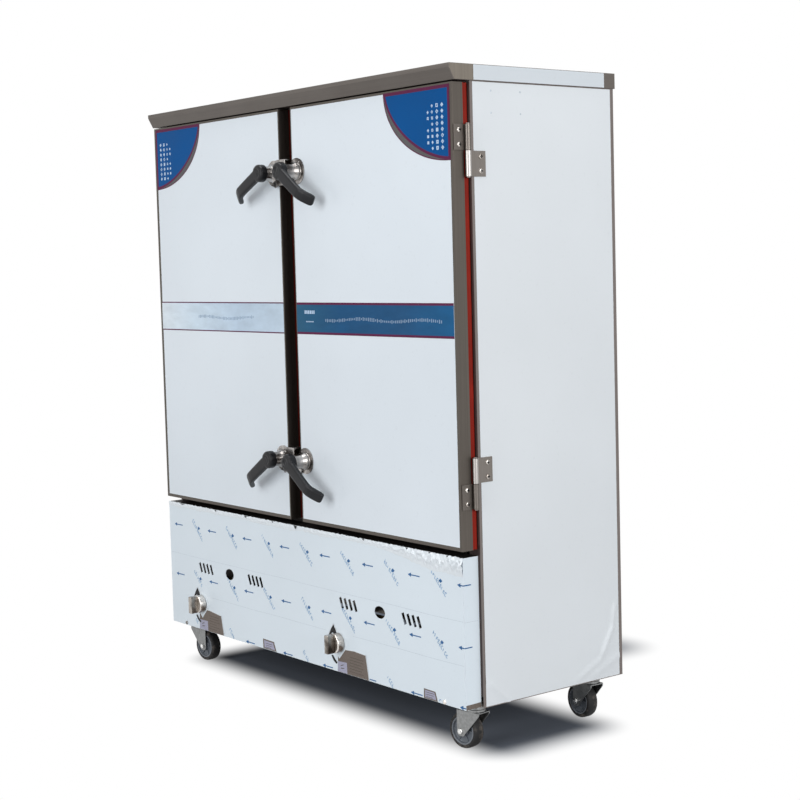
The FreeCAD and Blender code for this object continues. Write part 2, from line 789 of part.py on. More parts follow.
def gas_valves():
    """Valve bodies, each with a feed tube to its burner's mixing tube."""
    bodies = []
    for valve_x, burner in (("valve_left_x", "-burner_x"), ("valve_right_x", "burner_x")):
        front, back = "-valve_body_front", "-valve_body_front + valve_body_depth"
        block = box((f"{valve_x} - valve_body_width / 2", front, "valve_z - valve_body_height / 2"),
                    (f"{valve_x} + valve_body_width / 2", back, "valve_z + valve_body_height / 2"))
        tube_y = f"{back} - valve_body_depth / 2"
        jet_z = "mixing_z"
        riser = rod("z", "feed_radius", f"{jet_z} - valve_z", (valve_x, tube_y, "valve_z"))
        corner = ball("feed_radius", (valve_x, tube_y, jet_z))
        across = rod("x", "feed_radius", f"({burner}) - ({valve_x})", (valve_x, tube_y, jet_z))
        elbow = ball("feed_radius", (burner, tube_y, jet_z))
        jet = rod("y", "jet_radius", f"venturi_mouth_y - jet_gap - ({tube_y})", (burner, tube_y, jet_z))
        socket = rod("y", "valve_stem_radius + running_gap", "valve_stem_depth + 1",
                     (valve_x, f"{front} - 1", "valve_z"))
        bodies.append(cut(fuse([block, riser, corner, across, elbow, jet]), [socket]))
    label(group(bodies), "gas_valves")


def valve_knob(side):
    """A domed disc with a grip bar, on a stem that enters the valve body."""
    behind = "-(cover_reach + knob_gap)"
    disc = rod("y", "knob_radius", "knob_disc - knob_dome", ("0", f"{behind} - knob_disc + knob_dome", "0"),
               local=True)
    dome = cone("y", "knob_radius - knob_dome_inset", "knob_radius", "knob_dome",
                ("0", f"{behind} - knob_disc", "0"), local=True)
    grip = local_box(("-grip_width / 2", f"{behind} - knob_disc - grip_depth", "-grip_height / 2"),
                     ("grip_width / 2", f"{behind} - knob_disc + 1", "grip_height / 2"))
    stem = rod("y", "valve_stem_radius", "cover_reach + knob_gap - valve_body_front + valve_stem_depth",
               ("0", behind, "0"), local=True)
    knob = fuse([disc, dome, grip, stem])
    place(knob, (f"valve_{side}_x", "face_y", "valve_z"))
    label(knob, f"{side}_valve_knob")


def burner_cover():
    """A front pan with vents, sight holes and windows for the valve stems."""
    outer = box(("-cover_half", "-cover_reach", "cover_bottom_z"), ("cover_half", "0", "cover_top_z"))
    inner = box(("-cover_half + panel_sheet", "-cover_reach + panel_sheet", "cover_bottom_z - 1"),
                ("cover_half - panel_sheet", "1", "cover_top_z - panel_sheet"))
    holes = []
    for side in SIDES:
        sign = SIGN[side]
        peephole = doc.addObject("Part::Ellipse", "sight_hole")
        bind(peephole, "MajorRadius", "sight_hole_half_width")
        bind(peephole, "MinorRadius", "sight_hole_half_height")
        punch = doc.addObject("Part::Extrusion", "sight_punch")
        punch.Base = peephole
        punch.Dir = FreeCAD.Vector(0, 0, 1)
        punch.Solid = True
        bind(punch, "LengthFwd", "panel_sheet + 2")
        place(punch, (f"{sign} * burner_x", from_face("(-cover_reach - 1)"), "sight_hole_z"),
              (1, 0, 0), "270")
        holes.append(punch)
        for group_x in ("vent_inner_x", "vent_outer_x"):
            for i in range(int(value("vent_slots"))):
                x = f"{sign} * {group_x} + ({i} - (vent_slots - 1) / 2) * vent_pitch"
                slot = local_box(("-vent_slot_width / 2", "0", "-vent_slot_length / 2"),
                                 ("vent_slot_width / 2", "panel_sheet + 2", "vent_slot_length / 2"))
                carrier = group([slot])
                place(carrier, (x, from_face("(-cover_reach - 1)"), "sight_hole_z"), (0, -1, 0), "vent_slant")
                holes.append(carrier)
        window = local_box(("-valve_window / 2", "0", "-valve_window / 2"),
                           ("valve_window / 2", "panel_sheet + 2", "valve_window / 2"))
        turned_window = group([window])
        place(turned_window, (f"valve_{side}_x", from_face("(-cover_reach - 1)"), "valve_z"), (0, 1, 0), "45")
        holes.append(turned_window)
    for x in ("-cover_screw_x", "cover_screw_x"):
        holes.append(rod("y", "cover_screw_radius + running_gap", "panel_sheet + 2",
                         (x, "-cover_reach - 1", "cover_screw_z")))
    label(cut(cut(outer, [inner]), holes), "burner_cover")


def domed_screw(axis, at, radius, length, head_radius, head, outward):
    """A screw whose head lies on the outward side of at and whose shank goes inward."""
    x, y, z = at
    if axis == "x":
        head_start = (x if outward == "+" else f"{x} - {head}", y, z)
        shank_start = (f"{x} - {length}" if outward == "+" else x, y, z)
    elif axis == "y":
        head_start = (x, f"{y} - {head}", z)
        shank_start = (x, y, z)
    else:
        head_start = (x, y, f"{z} - {head}")
        shank_start = (x, y, z)
    wide, narrow = head_radius, f"{head_radius} * 0.6"
    ends = (wide, narrow) if outward == "+" else (narrow, wide)
    return fuse([cone(axis, ends[0], ends[1], head, head_start), rod(axis, radius, length, shank_start)])


def cover_screws():
    screws = [domed_screw("y", (x, "-cover_reach", "cover_screw_z"), "cover_screw_radius",
                          "cover_screw_length", "cover_screw_head_radius", "cover_screw_head", "-")
              for x in ("-cover_screw_x", "cover_screw_x")]
    label(group(screws), "cover_screws")


# Doors, hinges and latches


def latch_centres(side):
    sign = SIGN[side]
    return [(f"{sign} * latch_x", f"latch_{level}_z") for level in ("upper", "lower")]


def flange_screw_centres(side):
    spots = []
    for x, z in latch_centres(side):
        for sx in ("-1", "1"):
            for sz in ("-1", "1"):
                spots.append((f"{x} + {sx} * flange_screw_circle * cos(flange_screw_angle)",
                              f"{z} + {sz} * flange_screw_circle * sin(flange_screw_angle)"))
    return spots


def door(side):
    x = mirrored_x(("door_inner", "door_outer"))[side]
    sheet = "door_sheet"
    outer = box((x[0], "-door_front", "door_bottom"), (x[1], "-door_back", "door_top"))
    hollow = box((f"{x[0]} + {sheet}", f"-door_front + {sheet}", f"door_bottom + {sheet}"),
                 (f"{x[1]} - {sheet}", "-door_back + 1", f"door_top - {sheet}"))
    holes = [rod("y", "bushing_radius + mating_gap", "door_sheet + 2", (cx, "-door_front - 1", cz))
             for cx, cz in latch_centres(side)]
    holes += [rod("y", "flange_screw_radius + running_gap", "door_sheet + 2",
                  (cx, "-door_front - 1", cz)) for cx, cz in flange_screw_centres(side)]
    edge = "door_outer - door_sheet - 1" if side == "right" else "-door_outer - 1"
    holes += [rod("x", "hinge_bolt_radius + running_gap", "door_sheet + 2", (edge, y, z))
              for y, z in leaf_bolt_spots("door")]
    label(cut(outer, [hollow] + holes), f"{side}_door_outer_shell")

    core = box((f"{x[0]} + {sheet}", f"-door_front + {sheet}", f"door_bottom + {sheet}"),
               (f"{x[1]} - {sheet}", f"-door_back - {sheet}", f"door_top - {sheet}"))
    pockets = [rod("y", "bushing_radius + mating_gap", "bushing_length + 1", (cx, "-door_front", cz))
               for cx, cz in latch_centres(side)]
    label(cut(core, pockets), f"{side}_door_foam_core")

    label(box((f"{x[0]} + {sheet}", f"-door_back - {sheet}", f"door_bottom + {sheet}"),
              (f"{x[1]} - {sheet}", "-door_back", f"door_top - {sheet}")), f"{side}_door_inner_skin")

    inset, band = "gasket_inset", "gasket_inset + gasket_width"
    ring = box((f"{x[0]} + {inset}", "-door_back", f"door_bottom + {inset}"),
               (f"{x[1]} - {inset}", "-mating_gap", f"door_top - {inset}"))
    hole = box((f"{x[0]} + {band}", "-door_back - 1", f"door_bottom + {band}"),
               (f"{x[1]} - ({band})", "1", f"door_top - ({band})"))
    label(cut(ring, [hole]), f"{side}_door_gasket")


def hinge_leaf(side, level, owner):
    sign = SIGN[side]
    low, high = hinge_leaf_span(level, owner)
    if owner == "door":
        x = mirrored_x(("door_outer", "door_outer + leaf_sheet"))[side]
        y = ("-door_leaf_start", "-hinge_pin_y")
    else:
        x = mirrored_x(("half_width", "half_width + leaf_sheet"))[side]
        y = ("-hinge_pin_y", "cabinet_leaf_end")
    plate = box((x[0], y[0], low), (x[1], y[1], high))
    knuckle = rod("z", "knuckle_radius", "leaf_height", (f"{sign} * pin_x", "-hinge_pin_y", low))
    bore = rod("z", "hinge_pin_radius + running_gap", "leaf_height + 2",
               (f"{sign} * pin_x", "-hinge_pin_y", f"{low} - 1"))
    holes = [rod("x", "hinge_bolt_radius + running_gap", "leaf_sheet + 2", (f"{x[0]} - 1", bolt_y, z))
             for bolt_y, z in leaf_bolt_spots(owner)]
    return cut(fuse([plate, knuckle]), [bore] + holes)


def hinges():
    for side in SIDES:
        leaves = [hinge_leaf(side, level, "door") for level in ("upper", "lower")]
        label(group(leaves), f"{side}_door_hinge_leaves")
    leaves = [hinge_leaf(side, level, "cabinet") for side in SIDES for level in ("upper", "lower")]
    label(group(leaves), "cabinet_hinge_leaves")
    pins = []
    for side in SIDES:
        for level in ("upper", "lower"):
            x, low = f"{SIGN[side]} * pin_x", f"hinge_{level}_z - leaf_split / 2 - leaf_height"
            length = "2 * leaf_height + leaf_split"
            pins.append(fuse([
                rod("z", "hinge_pin_radius", f"{length} + 2 * mating_gap",
                    (x, "-hinge_pin_y", f"{low} - mating_gap")),
                rod("z", "hinge_pin_head_radius", "hinge_pin_head",
                    (x, "-hinge_pin_y", f"{low} - mating_gap - hinge_pin_head")),
                rod("z", "hinge_pin_head_radius", "hinge_pin_head",
                    (x, "-hinge_pin_y", f"{low} + {length} + mating_gap"))]))
    label(group(pins), "hinge_pins")
    bolts = []
    for side in SIDES:
        face = "half_width + leaf_sheet"
        x, way = (face, "+") if side == "right" else (f"-({face})", "-")
        bolts += [domed_screw("x", (x, y, z), "hinge_bolt_radius", "leaf_sheet + panel_sheet",
                              "hinge_bolt_head_radius", "hinge_bolt_head", way)
                  for y, z in leaf_bolt_spots("cabinet")]
    label(group(bolts), "cabinet_hinge_bolts")


def door_screws(side):
    """The hinge bolts and the latch flange screws of one door."""
    face = "door_outer + leaf_sheet"
    x, way = (face, "+") if side == "right" else (f"-({face})", "-")
    screws = [domed_screw("x", (x, y, z), "hinge_bolt_radius", "leaf_sheet + door_sheet",
                          "hinge_bolt_head_radius", "hinge_bolt_head", way)
              for y, z in leaf_bolt_spots("door")]
    screws += [domed_screw("y", (cx, "-door_front - flange_sheet", cz), "flange_screw_radius",
                           "flange_sheet + door_sheet", "flange_screw_head_radius", "flange_screw_head", "-")
               for cx, cz in flange_screw_centres(side)]
    label(group(screws), f"{side}_door_screws")


def latch_flange(side, x, z):
    """A round flange, trimmed level with the door's edge, with a blind bushing behind it."""
    flange = rod("y", "flange_radius", "flange_sheet", (x, "-door_front - flange_sheet", z))
    bushing = rod("y", "bushing_radius", "bushing_length", (x, "-door_front", z))
    bore = rod("y", "spindle_radius + running_gap", "bushing_length - bushing_floor + flange_sheet + 1",
               (x, "-door_front - flange_sheet - 1", z))
    trim_x = mirrored_x(("door_inner - flange_radius", "door_inner"))[side]
    trim = box((trim_x[0], "-door_front - flange_sheet - 1", f"{z} - flange_radius - 1"),
               (trim_x[1], "-door_front + 1", f"{z} + flange_radius + 1"))
    screws = [rod("y", "flange_screw_radius + running_gap", "flange_sheet + 2",
                  (f"{x} + {sx} * flange_screw_circle * cos(flange_screw_angle)",
                   "-door_front - flange_sheet - 1",
                   f"{z} + {sz} * flange_screw_circle * sin(flange_screw_angle)"))
              for sx in ("-1", "1") for sz in ("-1", "1")]
    return cut(fuse([flange, bushing]), [bore, trim] + screws)


def latch_cam(side, level):
    """A spindle with a boss and the cam tongue that goes behind the keeper's head."""
    back, hub = "-cam_back", f"hub_start_{side}"
    tongue = local_box(("0", f"{back} - cam_thickness", "-cam_width / 2"),
                       ("cam_length", back, "cam_width / 2"))
    root = rod("y", "boss_shoulder_radius", "cam_thickness", ("0", f"{back} - cam_thickness", "0"),
               local=True)
    shoulder = cone("y", "boss_radius", "boss_shoulder_radius", "boss_shoulder",
                    ("0", f"{back} - cam_thickness - boss_shoulder", "0"), local=True)
    boss = rod("y", "boss_radius", f"{hub} - cam_front", ("0", f"-{hub}", "0"), local=True)
    spindle_front = f"{hub} + hub_socket - hub_socket_gap"
    spindle_back = "door_front - bushing_length + bushing_floor + spindle_end_gap"
    spindle = rod("y", "spindle_radius", f"{spindle_front} - ({spindle_back})",
                  ("0", f"-({spindle_front})", "0"), local=True)
    cam = fuse([tongue, root, shoulder, boss, spindle])
    droop = f"droop_{level}_{side}"
    angle = f"{droop} + 90" if side == "right" else f"90 - {droop}"
    place(cam, (f"{SIGN[side]} * latch_x", "face_y", f"latch_{level}_z"), (0, 1, 0), angle)
    label(cam, f"{level}_{side}_latch_cam")


def latch_lever(side, level):
    """A hub on the spindle with a flat arm whose end bends back towards the door."""
    front = f"-hub_front_{side}"
    tip_x = "arm_length + tip_run"
    edge = prism(f"{level}_{side}_lever_edge", "XY_Plane",
                 [("0", front), ("arm_length", front), (tip_x, f"{front} + tip_drop"),
                  (f"{tip_x} - tip_undercut", f"{front} + tip_drop + arm_thickness"),
                  ("arm_length - arm_bend_setback", f"{front} + arm_thickness"),
                  ("0", f"{front} + arm_thickness")],
                 "2 * arm_width_root", symmetric=True)
    face = prism(f"{level}_{side}_lever_face", "XZ_Plane",
                 [("0", "-arm_width_root / 2"), ("arm_length", "-arm_width_tip / 2"),
                  (f"{tip_x} - tip_shoulder", "-arm_width_tip / 2"),
                  (f"{tip_x} - tip_nose", "-arm_width_tip / 2 + tip_chamfer"), (tip_x, "0"),
                  (f"{tip_x} - tip_nose", "arm_width_tip / 2 - tip_chamfer"),
                  (f"{tip_x} - tip_shoulder", "arm_width_tip / 2"),
                  ("arm_length", "arm_width_tip / 2"), ("0", "arm_width_root / 2")],
                 f"2 * hub_front_{side}")
    arm = common(edge, face)
    drum = rod("y", "hub_radius", "hub_length - hub_bevel", ("0", f"{front} + hub_bevel", "0"), local=True)
    bevel = cone("y", "hub_radius - hub_bevel_inset", "hub_radius", "hub_bevel", ("0", front, "0"),
                 local=True)
    socket = rod("y", "spindle_radius", "hub_socket", ("0", f"-hub_start_{side} - hub_socket", "0"),
                 local=True)
    lever = cut(fuse([arm, drum, bevel]), [socket])
    droop = f"droop_{level}_{side}"
    angle = droop if side == "right" else f"180 - {droop}"
    place(lever, (f"{SIGN[side]} * latch_x", "face_y", f"latch_{level}_z"), (0, 1, 0), angle)
    label(lever, f"{level}_{side}_latch_lever")


def latches():
    for side in SIDES:
        flanges = [latch_flange(side, x, z) for x, z in latch_centres(side)]
        label(group(flanges), f"{side}_door_latch_flanges")
        for level in ("upper", "lower"):
            latch_cam(side, level)
            latch_lever(side, level)
    keepers = []
    for level in ("upper", "lower"):
        low = f"latch_{level}_z - keeper_height / 2"
        high = f"latch_{level}_z + keeper_height / 2"
        head = "keeper_head_back"
        keepers.append(fuse([
            box(("-keeper_foot_width / 2", "-keeper_foot_sheet", low), ("keeper_foot_width / 2", "0", high)),
            box(("-keeper_stem_sheet / 2", f"-{head} - 1", low),
                ("keeper_stem_sheet / 2", "-keeper_foot_sheet + 1", high)),
            box(("-keeper_head_width / 2", f"-{head} - keeper_head_sheet", low),
                ("keeper_head_width / 2", f"-{head}", high)),
            box(("-keeper_head_width / 2", f"-{head} - 1", f"{high} - keeper_head_sheet"),
                ("keeper_head_width / 2", f"-{head} + keeper_return", high))]))
    label(group(keepers), "latch_keepers")


# Casters


CASTERS = {
    "front_left": ("-caster_x", "caster_front_y"),
    "front_right": ("caster_x", "caster_front_y"),
    "rear_left": ("-caster_x", "caster_rear_y"),
    "rear_right": ("caster_x", "caster_rear_y"),
}


def plate_bolt_centres():
    return [(f"{x} {sx} plate_bolt_spread", f"{y} {sy} plate_bolt_spread")
            for x, y in CASTERS.values() for sx in "-+" for sy in "-+"]


def caster_plates():
    plates = []
    for x, y in CASTERS.values():
        top = "base_clearance"
        half = "plate_size / 2"
        plate = box((f"{x} - {half}", f"{y} - {half}", f"{top} - plate_sheet"),
                    (f"{x} + {half}", f"{y} + {half}", top))
        race = rod("z", "raceway_radius", "raceway_height", (x, y, f"{top} - plate_sheet - raceway_height"))
        pin_z = "fork_top - fork_sheet - mating_gap"
        pin = rod("z", "kingpin_radius", f"{top} - plate_sheet - ({pin_z})", (x, y, pin_z))
        head = rod("z", "kingpin_head_radius", "kingpin_head", (x, y, f"{pin_z} - kingpin_head"))
        holes = [rod("z", "plate_bolt_radius + running_gap", "plate_sheet + 2",
                     (f"{x} {sx} plate_bolt_spread", f"{y} {sy} plate_bolt_spread",
                      f"{top} - plate_sheet - 1"))
                 for sx in "-+" for sy in "-+"]
        plates.append(cut(fuse([plate, race, pin, head]), holes))
    label(group(plates), "caster_plates")
    bolts = [domed_screw("z", (x, y, "base_clearance - plate_sheet"), "plate_bolt_radius",
                         "plate_sheet + corner_plate_thickness", "plate_bolt_head_radius",
                         "plate_bolt_head", "-")
             for x, y in plate_bolt_centres()]
    label(group(bolts), "caster_plate_bolts")


def caster(corner):
    x, y = CASTERS[corner]
    leg_inner, leg_outer = "fork_leg", "fork_leg + fork_sheet"
    top = "fork_top"
    axle_z = "wheel_radius"
    low, corner_z = f"{axle_z} - fork_toe", f"{axle_z} - fork_corner_drop"
    side_outline = [("-fork_heel", top), ("-fork_heel", f"{top} - fork_shoulder"),
                    ("trail - fork_toe", corner_z), ("trail - fork_toe + fork_corner", low),
                    ("trail + fork_toe - fork_corner", low), ("trail + fork_toe", corner_z),
                    ("trail + fork_toe", top)]
    cheeks = prism(f"{corner}_cheeks", "XZ_Plane", side_outline, f"2 * ({leg_outer})", symmetric=True)
    gap = local_box(("-fork_heel - 1", "-fork_leg", "0"),
                    ("trail + fork_toe + 1", "fork_leg", f"{top} - fork_sheet"))
    crown = rod("z", "raceway_radius", "crown_height", ("0", "0", top), local=True)
    bore = rod("z", "kingpin_radius + running_gap", "crown_height + fork_sheet + 4",
               ("0", "0", f"{top} - fork_sheet - 2"), local=True)
    axle_hole = rod("y", "axle_radius + running_gap", f"2 * ({leg_outer}) + 2",
                    ("trail", f"-({leg_outer}) - 1", axle_z), local=True)
    fork = cut(fuse([cut(cheeks, [gap]), crown]), [bore, axle_hole])
    axle = fuse([
        rod("y", "axle_radius", f"2 * ({leg_outer})", ("trail", f"-({leg_outer})", axle_z), local=True),
        rod("y", "axle_nut_radius", "axle_nut", ("trail", f"-({leg_outer}) - axle_nut", axle_z), local=True),
        rod("y", "axle_nut_radius", "axle_nut", ("trail", leg_outer, axle_z), local=True)])
    swivel = f"swivel_{corner}"
    together = group([fork, axle])
    place(together, (x, from_face(y), "0"), (0, 0, 1), swivel)
    label(together, f"{corner}_caster_fork")

    half, rim = "hub_width / 2", "wheel_radius - tyre_wall"
    bore, proud, dish = "axle_radius + running_gap", f"{half} + hub_boss_proud", f"{half} - hub_dish"
    slope, lip = f"{rim} - rim_lip - rim_slope", f"{rim} - rim_lip"
    hub = turned(f"{corner}_hub_body", [
        (bore, f"-({proud})"), ("hub_boss_radius", f"-({proud})"), ("hub_boss_radius", f"-({dish})"),
        (slope, f"-({dish})"), (lip, f"-{half}"), (rim, f"-{half}"), (rim, half), (lip, half),
        (slope, dish), ("hub_boss_radius", dish), ("hub_boss_radius", proud), (bore, proud)])
    wide, edge = "wheel_width / 2", "wheel_radius - tread_edge_drop"
    shoulder = "wheel_radius - tyre_shoulder"
    tyre = turned(f"{corner}_tyre_body", [
        (rim, f"-{wide}"), (shoulder, f"-{wide}"), (edge, f"-{wide} + tread_edge_width"),
        ("wheel_radius", f"-{wide} + tread_start"), ("wheel_radius", f"{wide} - tread_start"),
        (edge, f"{wide} - tread_edge_width"), (shoulder, wide), (rim, wide)])
    for piece, name in ((hub, "caster_hub"), (tyre, "caster_tyre")):
        place(piece, ("trail", "0", axle_z), (1, 0, 0), "90")
        carrier = group([piece])
        place(carrier, (x, from_face(y), "0"), (0, 0, 1), swivel)
        label(carrier, f"{corner}_{name}")


def build():
    base_frame()
    for side in SIDES:
        side_panel(side)
        chamber_liner(side)
        door(side)
        door_screws(side)
        valve_knob(side)
    rear_panel()
    roof_cap()
    front_frame()
    foam_insulation()
    tray_rails()
    water_tank()
    water_fittings()
    flue_outlet()
    burners()
    gas_manifold()
    gas_valves()
    burner_cover()
    cover_screws()
    hinges()
    latches()
    caster_plates()
    for corner in CASTERS:
        caster(corner)


build()
doc.recompute()

NODES = [
    "base_frame", "left_side_panel", "right_side_panel", "rear_panel", "roof_cap", "front_frame",
    "left_chamber_liner", "right_chamber_liner", "foam_insulation", "tray_rails", "water_tank",
    "water_fittings",
    "flue_outlet", "burners", "gas_manifold", "gas_valves", "left_valve_knob", "right_valve_knob",
    "burner_cover", "cover_screws",
    "left_door_outer_shell", "left_door_foam_core", "left_door_inner_skin", "left_door_gasket",
    "right_door_outer_shell", "right_door_foam_core", "right_door_inner_skin", "right_door_gasket",
    "left_door_hinge_leaves", "right_door_hinge_leaves", "cabinet_hinge_leaves", "hinge_pins",
    "cabinet_hinge_bolts",
    "left_door_screws", "right_door_screws", "left_door_latch_flanges", "right_door_latch_flanges",
    "upper_left_latch_cam", "upper_right_latch_cam", "lower_left_latch_cam", "lower_right_latch_cam",
    "upper_left_latch_lever", "upper_right_latch_lever", "lower_left_latch_lever", "lower_right_latch_lever",
    "latch_keepers", "caster_plates", "caster_plate_bolts",
] + [f"{corner}_caster_{piece}" for corner in CASTERS for piece in ("fork", "hub", "tyre")]

failed = [obj.Label for obj in doc.Objects if "Invalid" in obj.State or "Error" in obj.State]
if failed:
    raise RuntimeError(f"objects that did not build: {failed}")
parts = {obj.Label: obj for obj in doc.Objects if obj.Label in NODES}
missing = sorted(set(NODES) - set(parts))
if missing:
    raise RuntimeError(f"nodes with no object: {missing}")
for name in NODES:
    shape = parts[name].Shape
    if shape.isNull() or not shape.isValid() or not shape.Solids:
        raise RuntimeError(f"{name} has no valid solid")

os.makedirs("parts", exist_ok=True)
for name in NODES:
    parts[name].Shape.exportStep(f"parts/{name}.step")
whole = Part.makeCompound([parts[name].Shape for name in NODES]).BoundBox
print(f"{len(NODES)} nodes, box {whole.XLength:.1f} x {whole.YLength:.1f} x {whole.ZLength:.1f} mm")
for axis in "XYZ":
    print(f"{axis} {getattr(whole, axis + 'Min'):.1f} to {getattr(whole, axis + 'Max'):.1f}")
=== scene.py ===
import math
import random

import bmesh
import bpy
from mathutils import Matrix, Vector, noise


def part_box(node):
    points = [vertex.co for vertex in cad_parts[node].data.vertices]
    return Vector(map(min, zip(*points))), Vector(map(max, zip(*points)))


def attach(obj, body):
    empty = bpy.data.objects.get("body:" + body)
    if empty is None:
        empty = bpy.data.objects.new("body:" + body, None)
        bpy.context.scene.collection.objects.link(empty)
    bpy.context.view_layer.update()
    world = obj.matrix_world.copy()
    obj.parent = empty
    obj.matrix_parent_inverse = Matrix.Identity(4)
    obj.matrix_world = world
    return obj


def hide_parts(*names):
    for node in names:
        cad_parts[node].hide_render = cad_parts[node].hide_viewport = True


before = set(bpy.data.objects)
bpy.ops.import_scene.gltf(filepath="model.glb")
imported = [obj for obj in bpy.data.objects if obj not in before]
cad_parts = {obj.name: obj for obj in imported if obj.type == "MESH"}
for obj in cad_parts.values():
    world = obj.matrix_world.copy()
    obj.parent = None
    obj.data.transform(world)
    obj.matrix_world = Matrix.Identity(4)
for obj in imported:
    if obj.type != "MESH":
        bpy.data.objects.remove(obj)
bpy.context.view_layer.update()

MM = 0.001
FACE_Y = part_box("front_frame")[0].y
SIDES = (("left", -1), ("right", 1))
CORNERS = ("front_left", "front_right", "rear_left", "rear_right")

# Sizes in millimetres. X runs from the cabinet's middle, Y back from the front
# frame's face and Z up from the floor.
HALF_WIDTH = 700
DOOR_FRONT = -50
DOOR_BACK = -17
DOOR_INNER = 28
DOOR_OUTER = 694
DOOR_BOTTOM = 503
DOOR_TOP = 1606
COVER_FRONT = -48
COVER_HALF = 691
COVER_BOTTOM = 119
COVER_TOP = 487
LATCH_X = 52
LATCH_Z = {"upper": 1437, "lower": 669}
DROOP = {("upper", "left"): 26, ("upper", "right"): 35, ("lower", "left"): 32, ("lower", "right"): 36}
VALVE_X = {"left": -518, "right": 176}
VALVE_Z = 198
HUB_START = {"left": 86, "right": 93}
CASTER_AT = {"front_left": (-645, 22, 5), "front_right": (645, 22, 188),
             "rear_left": (-645, 410, 25), "rear_right": (645, 410, 176)}
TRAIL = 33
WHEEL_RADIUS = 45


def at(x, y, z):
    """A place in the cabinet, in millimetres, as metres in the part's frame."""
    return Vector((x * MM, FACE_Y + y * MM, z * MM))


# Materials


class Paint:
    """A procedural material while its nodes are being joined."""

    def __init__(self, name, **sockets):
        self.mat = bpy.data.materials.new(name)
        self.mat.use_nodes = True
        self.nodes = self.mat.node_tree.nodes
        self.links = self.mat.node_tree.links
        self.shader = self.nodes["Principled BSDF"]
        for socket, value in sockets.items():
            self.shader.inputs[socket.replace("_", " ")].default_value = value
        self.place = self.nodes.new("ShaderNodeTexCoord").outputs["Object"]

    def put(self, source, socket):
        self.links.new(source, self.shader.inputs[socket])
        return self

    def stretched(self, scale):
        node = self.nodes.new("ShaderNodeMapping")
        node.inputs["Scale"].default_value = scale
        self.links.new(self.place, node.inputs["Vector"])
        return node.outputs["Vector"]

    def noise(self, scale, stretch=(1, 1, 1), detail=4.0, roughness=0.55):
        node = self.nodes.new("ShaderNodeTexNoise")
        node.inputs["Scale"].default_value = scale
        node.inputs["Detail"].default_value = detail
        node.inputs["Roughness"].default_value = roughness
        self.links.new(self.stretched(stretch), node.inputs["Vector"])
        return node.outputs["Fac"]

    def cells(self, scale, feature="F1"):
        node = self.nodes.new("ShaderNodeTexVoronoi")
        node.feature = feature
        node.inputs["Scale"].default_value = scale
        self.links.new(self.place, node.inputs["Vector"])
        return node.outputs["Distance"]

    def ramp(self, source, stops):
        node = self.nodes.new("ShaderNodeValToRGB")
        ramp = node.color_ramp
        while len(ramp.elements) < len(stops):
            ramp.elements.new(0.5)
        for element, (spot, colour) in zip(ramp.elements, stops):
            element.position = spot
            grey = isinstance(colour, (int, float))
            element.color = (colour, colour, colour, 1) if grey else (*colour, 1)
        self.links.new(source, node.inputs["Fac"])
        return node.outputs["Color"]

    def mix(self, factor, first, second, blend="MIX"):
        node = self.nodes.new("ShaderNodeMix")
        node.data_type = "RGBA"
        node.blend_type = blend
        for slot, value in (("Factor", factor), ("A", first), ("B", second)):
            sockets = [s for s in node.inputs if s.name == slot and s.enabled]
            if isinstance(value, bpy.types.NodeSocket):
                self.links.new(value, sockets[0])
            elif slot == "Factor":
                sockets[0].default_value = value
            else:
                sockets[0].default_value = (*value, 1)
        return [s for s in node.outputs if s.enabled][0]

    def along(self, axis, start, end):
        """The place along one axis as 0 at start and 1 at end, in metres."""
        parts = self.nodes.new("ShaderNodeSeparateXYZ")
        self.links.new(self.place, parts.inputs[0])
        span = self.nodes.new("ShaderNodeMapRange")
        span.inputs["From Min"].default_value = start
        span.inputs["From Max"].default_value = end
        self.links.new(parts.outputs[axis], span.inputs["Value"])
        return span.outputs["Result"]

    def past_box(self, low, high, width):
        """Nought over a rectangle of the floor, rising smoothly to one at a width away from it."""
        parts = self.nodes.new("ShaderNodeSeparateXYZ")
        self.links.new(self.place, parts.inputs[0])
        squares = []
        for axis, start, end in zip("XY", low, high):
            before = self.sum(start, parts.outputs[axis], "SUBTRACT", False)
            after = self.sum(parts.outputs[axis], end, "SUBTRACT", False)
            past = self.sum(self.sum(before, after, "MAXIMUM", False), 0.0, "MAXIMUM", False)
            squares.append(self.sum(past, past, "MULTIPLY", False))
        span = self.nodes.new("ShaderNodeMapRange")
        span.interpolation_type = "SMOOTHSTEP"
        span.inputs["From Max"].default_value = width
        distance = self.sum(self.sum(*squares, "ADD", False), 0.5, "POWER", False)
        self.links.new(distance, span.inputs["Value"])
        return span.outputs["Result"]

    def seen(self):
        """One for rays from the eye, straight or by way of gloss or glass, and nought for the rest."""
        path = self.nodes.new("ShaderNodeLightPath")
        total = path.outputs["Is Camera Ray"]
        for other in ("Is Glossy Ray", "Is Transmission Ray"):
            total = self.sum(total, path.outputs[other])
        return total

    def sum(self, first, second, operation="ADD", clamp=True):
        node = self.nodes.new("ShaderNodeMath")
        node.operation = operation
        node.use_clamp = clamp
        for socket, value in zip(node.inputs, (first, second)):
            if isinstance(value, bpy.types.NodeSocket):
                self.links.new(value, socket)
            else:
                socket.default_value = value
        return node.outputs[0]

    def bump(self, height, distance, strength=1.0, under=None):
        node = self.nodes.new("ShaderNodeBump")
        node.inputs["Distance"].default_value = distance
        node.inputs["Strength"].default_value = strength
        self.links.new(height, node.inputs["Height"])
        if under is not None:
            self.links.new(under, node.inputs["Normal"])
        return node.outputs["Normal"]


def scaled(colour, factor):
    return tuple(c * factor for c in colour)


